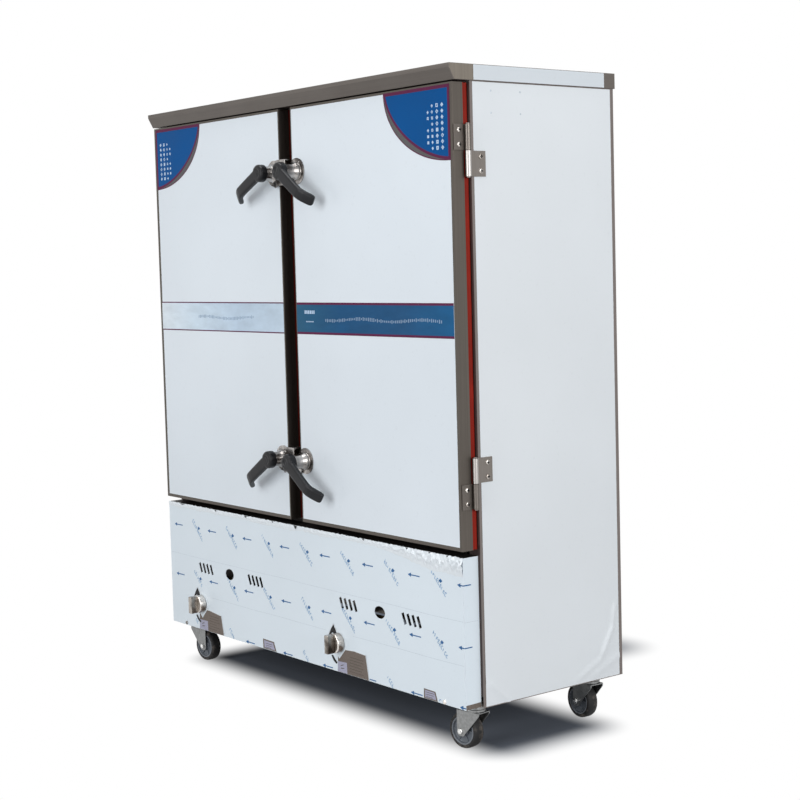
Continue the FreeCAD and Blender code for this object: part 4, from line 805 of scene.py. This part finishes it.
def bolts():
    cabinet, recesses = Shape(), Shape()
    for _, sign in SIDES:
        face = sign * (HALF_WIDTH + 3)
        for middle in (1416.75, 693.75):
            for z in (middle - 17, middle + 17):
                domed_bolt(cabinet, at(face, 27, z), (sign, 0, 0), 6.2, 3.8)
                cross_slot(recesses, at(face, 27, z), (sign, 0, 0), 6.2, 3.8)
    add_piece("cabinet_hinge_bolt_heads", cabinet.verts, cabinet.faces, "knob_rim", "cabinet", "polished_steel", 40,
              ("cabinet_hinge_bolts",))
    # The cross recesses are near-black bars: painted shade.
    add_piece("cabinet_hinge_bolt_recesses", recesses.verts, recesses.faces, "pit", "cabinet", "polished_steel", 0)
    for side, sign in SIDES:
        heads, recesses, dark, collars = Shape(), Shape(), Shape(), Shape()
        face = sign * (DOOR_OUTER + 3)
        for middle in (1478.25, 632.25):
            for z in (middle - 17, middle + 17):
                domed_bolt(heads, at(face, -33, z), (sign, 0, 0), 6.2, 3.8)
                cross_slot(recesses, at(face, -33, z), (sign, 0, 0), 6.2, 3.8)
        for z in LATCH_Z.values():
            for sx in (-1, 1):
                for sz in (-1, 1):
                    spot = at(sign * LATCH_X + sx * 13.5, DOOR_FRONT - 3, z + sz * 23.38)
                    domed_bolt(dark, spot, (0, -1, 0), 3.6, 1.9)
            collars.add(*turned_ring([(20.4, 52.9), (20.4, 55.2), (21.2, 55.7), (23.2, 55.4), (24, 54.4), (24, 52.9)],
                                     at(sign * LATCH_X, 0, z), (0, -1, 0), 56))
        body = f"{side}_door"
        add_piece(f"{side}_door_screw_heads", heads.verts, heads.faces, "knob_rim", body, "polished_steel", 40,
                  (f"{side}_door_screws",))
        # The cross recesses are near-black bars: painted shade.
        add_piece(f"{side}_door_screw_recesses", recesses.verts, recesses.faces, "pit", body, "polished_steel", 0)
        add_piece(f"{side}_flange_screw_heads", dark.verts, dark.faces, "dark_screw", body, "polished_steel", 40)
        add_piece(f"{side}_flange_collars", collars.verts, collars.faces, "polished", body, "polished_steel", 40)
    for name, x, finish in (("left", -611, "dark_screw"), ("right", 611, "knob_rim")):
        low = Shape()
        domed_bolt(low, at(x, COVER_FRONT, 125), (0, -1, 0), 6.0, 3.8)
        add_piece(f"{name}_cover_screw_head", low.verts, low.faces, finish, "cabinet", "polished_steel", 40,
                  ("cover_screws",) if name == "left" else ())


# Latch levers


def lever(side, level, sign):
    """A moulded lever: a round hub, and a flat arm whose tip bends back towards the door."""
    droop = math.radians(DROOP[(level, side)])
    along = Vector((sign * math.cos(droop), 0, -math.sin(droop)))
    across = Vector((sign * math.sin(droop), 0, math.cos(droop)))
    start = HUB_START[side]
    front = start + 24
    stations = [(0, 8, 16.5, 7.8), (22, 7.5, 16.3, 7.4), (55, 7.3, 15.8, 7.3), (90, 7.3, 15.3, 7.3), (104, 8, 15.2, 7.4),
                (112, 9.8, 15.2, 7.5), (122, 15, 15.2, 7.6), (132, 21.9, 15.1, 7.6), (141, 28.3, 14.8, 7.4),
                (145.6, 31.6, 13.4, 6.6), (147.6, 33, 10.4, 5.0)]
    ring = 24
    origin = at(sign * LATCH_X, 0, LATCH_Z[level])
    verts, faces = [], []
    for i, (u, behind, half, thick) in enumerate(stations):
        before, after = stations[max(i - 1, 0)], stations[min(i + 1, len(stations) - 1)]
        run = Vector((after[0] - before[0], after[1] - before[1])).normalized()
        for k in range(ring):
            a = 2 * math.pi * k / ring
            c, s = math.cos(a), math.sin(a)
            v = half * math.copysign(abs(c) ** 0.42, c)
            n = thick * math.copysign(abs(s) ** 0.5, s)
            y = behind - front + run.x * n
            verts.append(origin + (along * (u - run.y * n) + across * v + Vector((0, y, 0))) * MM)
    for i in range(len(stations) - 1):
        for k in range(ring):
            j = (k + 1) % ring
            faces.append([i * ring + k, i * ring + j, (i + 1) * ring + j, (i + 1) * ring + k])
    faces.append(list(range(ring))[::-1])
    faces.append([(len(stations) - 1) * ring + k for k in range(ring)])
    shape = Shape().add(verts, faces)
    hub = [(0.1, 0.3), (19.5, 0.3), (22, 1.2), (23.2, 3.4), (23.5, 7), (23.5, 15.5), (22.9, 19.6), (20.6, 22.6),
           (16.8, 23.8), (12.8, 24), (11.6, 23.1), (10.8, 21.9), (0.1, 21.6)]
    shape.add(*lathe([(r, start + d) for r, d in hub], origin, (0, -1, 0), 48))
    obj = add_piece(f"{level}_{side}_lever", shape.verts, shape.faces, "plastic", f"{level}_{side}_latch",
                    "black_plastic", 60, (f"{level}_{side}_latch_lever",))
    blend = obj.modifiers.new("one_moulding", "REMESH")
    blend.mode = "VOXEL"
    blend.voxel_size = 1.2 * MM
    blend.use_smooth_shade = True
    relax = obj.modifiers.new("fillets", "SMOOTH")
    relax.factor = 0.5
    relax.iterations = 3


# Burner cover


def on_cover(x, z, lift=0.25):
    """A place just off the cover, where what passes its right-hand corner goes round it."""
    if x > COVER_HALF:
        return at(COVER_HALF + lift, COVER_FRONT + (x - COVER_HALF), z)
    return at(x, COVER_FRONT - lift, z)


def strokes(shape, ends, width, place):
    """Short flat strokes between pairs of points."""
    for (xa, za), (xb, zb) in ends:
        run = Vector((xb - xa, zb - za))
        if run.length < 1e-6:
            continue
        side = Vector((-run.y, run.x)).normalized() * width / 2
        corners = ((xa + side.x, za + side.y), (xa - side.x, za - side.y),
                   (xb - side.x, zb - side.y), (xb + side.x, zb + side.y))
        shape.add([place(*c) for c in corners], [[0, 1, 2, 3]])


def film_printing():
    """Arrows and slanting rows of small plain marks printed on the cover's film, and darker fold lines that paint the
    shade in its creases.
    """
    arrows, ticks = Shape(), Shape()
    rng = random.Random(5)
    bare = ((-540, -396), (165, 308), (-194, -122), (528, 587))
    for z in (421, 270, 124):
        for k in range(-5, 3):
            x = 288 + 190 * k
            start = x
            if z < 200:
                if x < -640 or any(low < x < high for low, high in bare[:1]):
                    continue
                start = max([x] + [high for low, high in bare if low < x < high])
            if start == x:
                arrows.add([on_cover(*p) for p in ((x, z), (x + 13, z + 5.5), (x + 13, z - 5.5))], [[0, 1, 2]])
                start = x + 12
            end = x + 47
            pairs = [((start, z), (min(end, COVER_HALF - 0.01), z))]
            if end > COVER_HALF:
                pairs.append(((COVER_HALF + 0.3, z), (end, z)))
            strokes(arrows, pairs, 2.8, on_cover)
    for z in (421, 270, 124):
        for k in range(-5, 3):
            x = 195 + 188 * k
            for i in range(9):
                cx, cz = x + 6.1 * i, z + 17 - 6.2 * i
                if cx < -684 or COVER_HALF - 8 < cx < COVER_HALF + 0.5 or cz < COVER_BOTTOM + 3:
                    continue
                if z < 200 and any(low - 8 < cx < high for low, high in bare):
                    continue
                if abs(cx - VALVE_X["left"]) < 46 and abs(cz - VALVE_Z) < 50:
                    continue
                if abs(cx - VALVE_X["right"]) < 46 and abs(cz - VALVE_Z) < 50:
                    continue
                tall = rng.choice((8, 9.5, 11))
                lines = [((cx, cz), (cx + tall * 0.45, cz + tall * 0.75))]
                if rng.random() < 0.7:
                    lines.append(((cx, cz), (cx + 4.4, cz - 3.4)))
                if rng.random() < 0.6:
                    lines.append(((cx + tall * 0.45, cz + tall * 0.75), (cx + tall * 0.45 + 3.6, cz + tall * 0.45)))
                if rng.random() < 0.4:
                    lines.append(((cx + 2.2, cz + 3.6), (cx + 6.2, cz + 0.6)))
                strokes(ticks, lines, 1.7, on_cover)
            if z > 200 and x > -700:
                mark = ((x + 28, z + 1), (x + 35, z + 6.5), (x + 42, z + 1), (x + 35, z - 4.5))
                arrows.add([on_cover(*p) for p in mark], [[0, 1, 2, 3]])
    # Darker strokes along the film's fold lines: painted shade in the creases.
    fold_shade = Shape()
    for z, start, end in ((333, -688, 688), (331, COVER_HALF + 1, COVER_HALF + 44), (222, -460, 120), (226, 240, 688)):
        spots = spaced(start, end, 24)
        line = [(x, z + 1.5 * wobble(x, z, 0, 160, 2.0)) for x in spots]
        strokes(fold_shade, list(zip(line, line[1:])), 0.9, on_cover)
    add_piece("cover_film_fold_shade", fold_shade.verts, fold_shade.faces, "scuff", "cabinet", "blue_film_steel", 0)
    add_piece("cover_film_arrows", arrows.verts, arrows.faces, "ink_mark", "cabinet", "blue_film_steel", 0)
    add_piece("cover_film_ticks", ticks.verts, ticks.faces, "ink_faint", "cabinet", "blue_film_steel", 0)


def torn_edge():
    """The crinkled upper edge of the film, slackest towards the right, with a few gaps in it drawn as near-black
    triangles of painted shade.
    """
    us, vs = spaced(-COVER_HALF, COVER_HALF, 700), spaced(0, 1, 13)

    def place(x, t):
        slack = min(1.0, max(0.0, (x - 360) / 220))
        drop = 13 + 4 * wobble(x, 0, 0, 60, 1.5) + 3 * wobble(x, 0, 0, 14, 4.0) + 30 * slack
        crease = wobble(x + 14 * t, 34 * t, 0, 10, 2.0) + 0.7 * wobble(x - 20 * t, 14 * t, 0, 5, 5.0)
        puff = (1.5 + 3.6 * slack) * (0.8 * math.sin(math.pi * min(1, 1.1 * t)) + 1.5 * crease) * (1 - t * t)
        rise = 1.0 + 1.8 * wobble(x, 0, 0, 10, 7.0)
        return at(x, COVER_FRONT - 0.3 - max(0.0, puff), COVER_TOP + rise * (1 - t) - drop * t)

    add_piece("cover_film_torn_edge", *sheet_grid(place, us, vs), "loose_film", "cabinet", "blue_film_steel", 75)
    # Near-black triangles stand for the shade seen through gaps in the edge: painted shade.
    gaps = Shape()
    for x, wide, tall in ((-259, 14, 5), (-9, 15, 9), (640, 12, 13), (-420, 9, 4), (-610, 30, 3), (300, 9, 4),
                          (-120, 8, 4), (480, 10, 5), (570, 8, 8)):
        outline = ((x - wide / 2, COVER_TOP + 0.6), (x + wide / 2, COVER_TOP + 0.6), (x + wide * 0.1, COVER_TOP - tall))
        gaps.add([on_cover(*p, 3.2) for p in outline], [[0, 1, 2]])
    add_piece("cover_film_gap_shade", gaps.verts, gaps.faces, "pit", "cabinet", "blue_film_steel", 0)


def sticker(name, outline, material, lift):
    add_piece(name, [on_cover(x, z, lift) for x, z in outline], [list(range(len(outline)))], material, "cabinet",
              "blue_film_steel", 0)


def cover_patches():
    """Bare patches under the knobs and on the right-hand end, where the film is peeled off, and the labels."""
    spots = (
        ("left", ((-536, 119.5), (-398.5, 119.5), (-411, 176.5), (-475, 183), (-515, 183), (-533, 169.5)),
         ((-536, 120), (-488, 120), (-488.5, 149), (-534, 148)), -478),
        ("right", ((167, 119.5), (306, 119.5), (294, 184), (242, 186.5), (193, 183), (170, 163)),
         ((167, 120), (210, 120), (209, 149), (169, 147)), 222))
    for side, corners, note, first in spots:
        sticker(f"{side}_bare_patch", corners, "patch_steel", 0.18)
        edge = Shape()
        strokes(edge, list(zip(corners[1:], corners[2:]))[:3], 2.4, lambda x, z: on_cover(x, z, 0.8))
        add_piece(f"{side}_peeled_edge", edge.verts, edge.faces, "loose_film", "cabinet", "blue_film_steel", 0)
        sticker(f"{side}_small_sticker", note, "lilac", 0.3)
        lines = Shape()
        rng = random.Random(len(side))
        for row in range(6):
            z = 129 + 7.6 * row
            strokes(lines, [((first, z), (first + rng.choice((38, 52, 60)), z - 0.6))], 1.6,
                    lambda a, b: on_cover(a, b, 0.35))
        a, b = corners[0][0], note[2][1]
        strokes(lines, [((a + 14, b - 12), (a + 27, b - 8)), ((a + 15, b - 19), (a + 29, b - 17))], 2.2,
                lambda u, v: on_cover(u, v, 0.4))
        add_piece(f"{side}_patch_marks", lines.verts, lines.faces, "patch_ink", "cabinet", "blue_film_steel", 0)
    for name, outline in (("left", ((-191, 120), (-125, 120), (-136, 146), (-192, 147))),
                          ("right", ((530, 119.5), (584.5, 119.5), (576, 143), (531, 144)))):
        sticker(f"{name}_label_backing", outline, "patch_steel", 0.2)
        mid = sum(x for x, _ in outline) / 4
        face = [(mid + (x - mid) * 0.8, 131.5 + (z - 131.5) * 0.75) for x, z in outline]
        sticker(f"{name}_label_face", face, "lilac", 0.3)
        bars = Shape()
        for row in range(3):
            strokes(bars, [((mid - 17, 125 + 5.5 * row), (mid + 10 + 3 * row, 125 + 5.5 * row))], 1.3,
                    lambda a, b: on_cover(a, b, 0.4))
        add_piece(f"{name}_label_bars", bars.verts, bars.faces, "patch_ink", "cabinet", "blue_film_steel", 0)
    strip = ((-47.4, 131), (-0.6, 132), (-0.6, 119.4), (-47.4, 119.4))
    add_piece("right_cover_bare_foot", [at(COVER_HALF + 0.3, y, z) for y, z in strip], [[0, 1, 2, 3]], "patch_steel",
              "cabinet", "blue_film_steel", 0)


def knob_surround(side):
    """Film stretched over the window round a valve stem, with two small tears drawn as near-black sheets: painted shade
    where the dark behind would show.
    """
    x = VALVE_X[side]
    sheet = Shape()
    steps = 48
    for i in range(steps):
        a = 2 * math.pi * i / steps
        reach = 43.5 / (abs(math.cos(a)) + abs(math.sin(a)))
        sheet.verts.append(on_cover(x + 9 * math.cos(a), VALVE_Z + 9 * math.sin(a), 0.3))
        sheet.verts.append(on_cover(x + reach * math.cos(a), VALVE_Z + reach * math.sin(a), 0.3))
    sheet.faces = [[2 * i, 2 * i + 1, (2 * i + 3) % (2 * steps), (2 * i + 2) % (2 * steps)] for i in range(steps)]
    add_piece(f"{side}_window_film", sheet.verts, sheet.faces, "cover_film", "cabinet", "blue_film_steel", 0)
    # The tears are flat near-black sheets on the film: painted shade.
    tears = Shape()
    above = ((-23, 44), (-34, 31), (-45, 14), (-37, 12), (-30, 22), (-8, 19), (-12, 30))
    below = ((-36, -40), (-29, -38), (-20, -47), (-8, -56), (-14, -60), (-27, -52))
    for outline in (above, below):
        tears.add([on_cover(x + a, VALVE_Z + b, 0.62) for a, b in outline], [list(range(len(outline)))])
    add_piece(f"{side}_window_tear_shade", tears.verts, tears.faces, "pit", "cabinet", "blue_film_steel", 0)
    lip = Shape()
    strokes(lip, [((x + a, VALVE_Z + b), (x + c, VALVE_Z + d)) for (a, b), (c, d) in (
        ((-46, 15), (-35, 33)), ((-35, 33), (-23, 47)), ((-23, 47), (-9, 30)), ((-9, 30), (2, 24)))], 2.6,
        lambda a, b: on_cover(a, b, 0.8))
    add_piece(f"{side}_window_film_lip", lip.verts, lip.faces, "loose_film", "cabinet", "blue_film_steel", 0)


def knob(side):
    """A thick spun disc with an upright grip bar."""
    x = VALVE_X[side]
    origin = at(x, 0, VALVE_Z)
    disc = [(25, 49.2), (26, 50.2), (26, 66.8), (25.5, 68.2), (24.3, 69), (16, 69.1), (0.1, 69.1)]
    shape = Shape().add(*lathe(disc, origin, (0, -1, 0), 56))
    shape.add(*lathe([(4, 28), (4, 50)], origin, (0, -1, 0), 20))
    body = f"{side}_knob"
    add_piece(f"{side}_knob_disc", shape.verts, shape.faces, "knob_rim", body, "polished_steel", 40,
              (f"{side}_valve_knob",))
    grip = Shape().add(*slab(at(x - 8, -91, VALVE_Z - 25), at(x + 8, -68.6, VALVE_Z + 25)))
    obj = add_piece(f"{side}_knob_grip", grip.verts, grip.faces, "knob_steel", body, "polished_steel", 40)
    bevel(obj, 3.0, 4)
    knob_surround(side)


# Casters


def wheel_frame(corner):
    x, y, swivel = CASTER_AT[corner]
    turn = math.radians(swivel)
    out = Vector((math.cos(turn), math.sin(turn), 0))
    axle = Vector((-math.sin(turn), math.cos(turn), 0))
    stem = at(x, y, 0)
    return stem, out, axle, stem + out * TRAIL * MM + Vector((0, 0, WHEEL_RADIUS * MM))


def caster(corner):
    stem, out, axle, hub_at = wheel_frame(corner)
    tread = [(35, -14.4), (36.2, -15.6), (38.5, -16), (41, -15.3), (43.2, -13.4), (44.5, -10.2), (45, -6),
             (45, 6), (44.5, 10.2), (43.2, 13.4), (41, 15.3), (38.5, 16), (36.2, 15.6), (35, 14.4)]
    wheel = f"{corner}_wheel"
    verts, faces = turned_ring(tread, hub_at, axle, 72)
    add_piece(f"{corner}_tyre_tread", verts, faces, "rubber", wheel, "black_rubber", 50, (f"{corner}_caster_tyre",))
    hub = [(4.1, -17), (10.5, -17), (12, -15.8), (12.4, -11.5), (14.5, -9.8), (26, -9.8), (29.5, -11), (31.6, -14),
           (35.1, -14.7), (35.1, 14.7), (31.6, 14), (29.5, 11), (26, 9.8), (14.5, 9.8), (12.4, 11.5), (12, 15.8),
           (10.5, 17), (4.1, 17)]
    verts, faces = turned_ring(hub, hub_at, axle, 56)
    shape = Shape().add(verts, faces)
    for k in range(6):
        a = math.pi / 3 * k
        spoke = (out * math.cos(a) + Vector((0, 0, 1)) * math.sin(a))
        side = (out * -math.sin(a) + Vector((0, 0, 1)) * math.cos(a))
        for face in (-1, 1):
            base = hub_at + axle * face * 9.6 * MM
            corners = [(11.5, -1.7), (30.2, -1.4), (30.2, 1.4), (11.5, 1.7)]
            low = [base + (spoke * r + side * s) * MM for r, s in corners]
            high = [p + axle * face * 2.8 * MM for p in low]
            shape.add(low + high, [[0, 1, 2, 3], [4, 5, 6, 7], [0, 1, 5, 4], [1, 2, 6, 5], [2, 3, 7, 6], [3, 0, 4, 7]])
    add_piece(f"{corner}_wheel_hub", shape.verts, shape.faces, "hub", wheel, "grey_plastic", 35,
              (f"{corner}_caster_hub",))
    rims = Shape()
    for face in (-1, 1):
        rims.add(*turned_ring([(32, 13.8), (32, 14.9), (33, 15.4), (34.6, 15.4), (35.3, 14.8), (35.3, 13.8)], hub_at,
                              axle * face, 64))
    add_piece(f"{corner}_wheel_rim_rings", rims.verts, rims.faces, "hub_ring", wheel, "grey_plastic", 35)
    fork(corner, stem, out, axle, hub_at)


def fork(corner, stem, out, axle, hub_at):
    """Two pressed cheeks that lean back from the crown to the axle, joined by a top plate."""
    shape = Shape()
    up = Vector((0, 0, 1))

    def cheek(face):
        def place(a, b, d):
            return stem + out * a * MM + up * b * MM + axle * face * (18 + d) * MM
        outline = [(-26, 97.7), (-26, 91), (-22, 85.6), (-6, 67.8), (10, 50), (19.4, 39.6), (22, 35.4), (25.6, 32.6),
                   (29, 32), (38, 32), (42, 33.6), (45, 37.6), (46, 43), (46, 97.7)]
        return prism(outline, place, 3)

    for face in (-1, 1):
        shape.add(*cheek(face))

    def top(a, b, d):
        return stem + out * a * MM + axle * b * MM + up * (94.7 + d) * MM
    shape.add(*prism([(-26, -20.6), (46, -20.6), (46, 20.6), (-26, 20.6)], top, 3))
    body = f"{corner}_swivel"
    obj = add_piece(f"{corner}_fork_cheeks", shape.verts, shape.faces, "zinc", body, "zinc_steel", 35,
                    (f"{corner}_caster_fork",))
    bevel(obj, 1.0, 3)
    race = Shape().add(*lathe([(5.2, 97.5), (22.5, 97.5), (24, 98.6), (24, 103.2), (22.8, 104.6), (5.2, 104.6)],
                              stem, (0, 0, 1), 48))
    add_piece(f"{corner}_fork_race", race.verts, race.faces, "zinc", body, "zinc_steel", 35)
    pin = Shape()
    for face in (-1, 1):
        hex_nut(pin, hub_at + axle * face * 21 * MM, axle * face, 7.5, 4.8)
        pin.add(*lathe([(3.9, 0), (3.9, 6.2), (3.0, 7.0), (0.1, 7.2)], hub_at + axle * face * 21 * MM, axle * face, 20))
    pin.add(*lathe([(4, -21), (4, 21)], hub_at, axle, 20))
    add_piece(f"{corner}_fork_axle", pin.verts, pin.faces, "bright", body, "zinc_steel", 35)


# Building


def build_part():
    finish_solids()
    door_details()
    bolts()
    for side, sign in SIDES:
        for level in LATCH_Z:
            lever(side, level, sign)
        knob(side)
    film_printing()
    torn_edge()
    cover_patches()
    for corner in CORNERS:
        caster(corner)


def floor_finish():
    """Matt floor that keeps the shadow under and behind the part, and is plain white to the eye further out; to the eye
    it is also darker and bluer inside boxes round the footprint and behind it, painted shade on top of the rendered
    shadow.
    """
    p = Paint("pale_floor", Roughness=1.0, Specular_IOR_Level=0.0)
    eye = p.seen()
    cloud = p.ramp(p.noise(0.8, detail=2), [(0.3, 0.97), (0.7, 1.0)])
    # To the eye the floor colour is darker and bluer than to other rays: painted shade that deepens and tints the
    # shadow.
    pale = p.mix(eye, (0.30, 0.30, 0.305), (0.155, 0.175, 0.21))
    p.put(p.mix(1.0, pale, cloud, "MULTIPLY"), "Base Color")
    # The white glow fades out over a box round the footprint and one behind it, so the floor stays dark there: painted
    # shade shaped to the shadow.
    near = p.past_box((-0.59, -0.11), (0.66, 0.14), 0.15)
    behind = p.past_box((-0.95, 0.30), (0.10, 0.78), 0.20)
    white = p.sum(near, behind, "MULTIPLY")
    glow = p.nodes.new("ShaderNodeEmission")
    glow.inputs["Strength"].default_value = 1.0
    blend = p.nodes.new("ShaderNodeMixShader")
    p.links.new(p.sum(eye, white, "MULTIPLY"), blend.inputs[0])
    p.links.new(p.shader.outputs[0], blend.inputs[1])
    p.links.new(glow.outputs[0], blend.inputs[2])
    p.links.new(blend.outputs[0], p.nodes["Material Output"].inputs["Surface"])
    return p.mat


def stage():
    """A pale floor, a white surround and three soft lamps."""
    mesh = bpy.data.meshes.new("floor")
    rim = [(5 * math.cos(2 * math.pi * i / 96), 5 * math.sin(2 * math.pi * i / 96), -0.0005) for i in range(96)]
    mesh.from_pydata(rim, [], [list(range(96))])
    mesh.materials.append(floor_finish())
    floor = bpy.data.objects.new("floor", mesh)
    bpy.context.scene.collection.objects.link(floor)

    world = bpy.data.worlds.new("studio")
    bpy.context.scene.world = world
    world.use_nodes = True
    nodes, links = world.node_tree.nodes, world.node_tree.links
    nodes["Background"].inputs["Color"].default_value = (1.0, 1.0, 1.0, 1)
    path = nodes.new("ShaderNodeLightPath")
    eye = path.outputs["Is Camera Ray"]
    for other in ("Is Glossy Ray", "Is Transmission Ray"):
        both = nodes.new("ShaderNodeMath")
        both.use_clamp = True
        links.new(eye, both.inputs[0])
        links.new(path.outputs[other], both.inputs[1])
        eye = both.outputs[0]
    level = nodes.new("ShaderNodeMapRange")
    level.inputs["To Min"].default_value = 0.36
    level.inputs["To Max"].default_value = 1.0
    links.new(eye, level.inputs["Value"])
    links.new(level.outputs["Result"], nodes["Background"].inputs["Strength"])

    for name, place, aim, size, power in (
            ("front", (0.5, -5.4, 1.9), (0, -0.2, 0.8), 3.6, 172),
            ("side", (5.6, -0.4, 1.9), (0.6, 0, 0.8), 3.0, 168),
            ("overhead", (0, -0.1, 4.8), (0, -0.1, 0), 2.4, 130)):
        light = bpy.data.lights.new(name, "AREA")
        light.size = size
        light.energy = power
        lamp = bpy.data.objects.new(name, light)
        lamp.location = place
        aimed = (Vector(aim) - Vector(place)).to_track_quat("-Z", "Y")
        lamp.rotation_euler = aimed.to_euler()
        bpy.context.scene.collection.objects.link(lamp)


def camera():
    """The camera found from the photograph's perspective, for a square frame of 800."""
    focal, centre_x, centre_y, frame_width = 1630.47, 399.55, 386.24, 800
    yaw, pitch, roll = (math.radians(a) for a in (52.2, -4.35, -1.54))
    ahead = Vector((-math.sin(yaw) * math.cos(pitch), math.cos(yaw) * math.cos(pitch), math.sin(pitch)))
    level = Vector((math.cos(yaw), math.sin(yaw), 0))
    above = level.cross(ahead)
    right = level * math.cos(roll) + above * math.sin(roll)
    up = above * math.cos(roll) - level * math.sin(roll)
    data = bpy.data.cameras.new("view")
    data.sensor_width = 36
    data.lens = 36 * focal / frame_width
    data.shift_x = (frame_width / 2 - centre_x) / frame_width
    data.shift_y = (centre_y - frame_width / 2) / frame_width
    data.clip_end = 200
    cam = bpy.data.objects.new("view", data)
    turn = Matrix((right, up, -ahead)).transposed().to_4x4()
    turn.translation = at(3626.17, -2499.78, 1191.32)
    cam.matrix_world = turn
    bpy.context.scene.collection.objects.link(cam)
    bpy.context.scene.camera = cam
    bpy.context.scene.view_settings.view_transform = "Standard"


camera()
stage()
build_part()
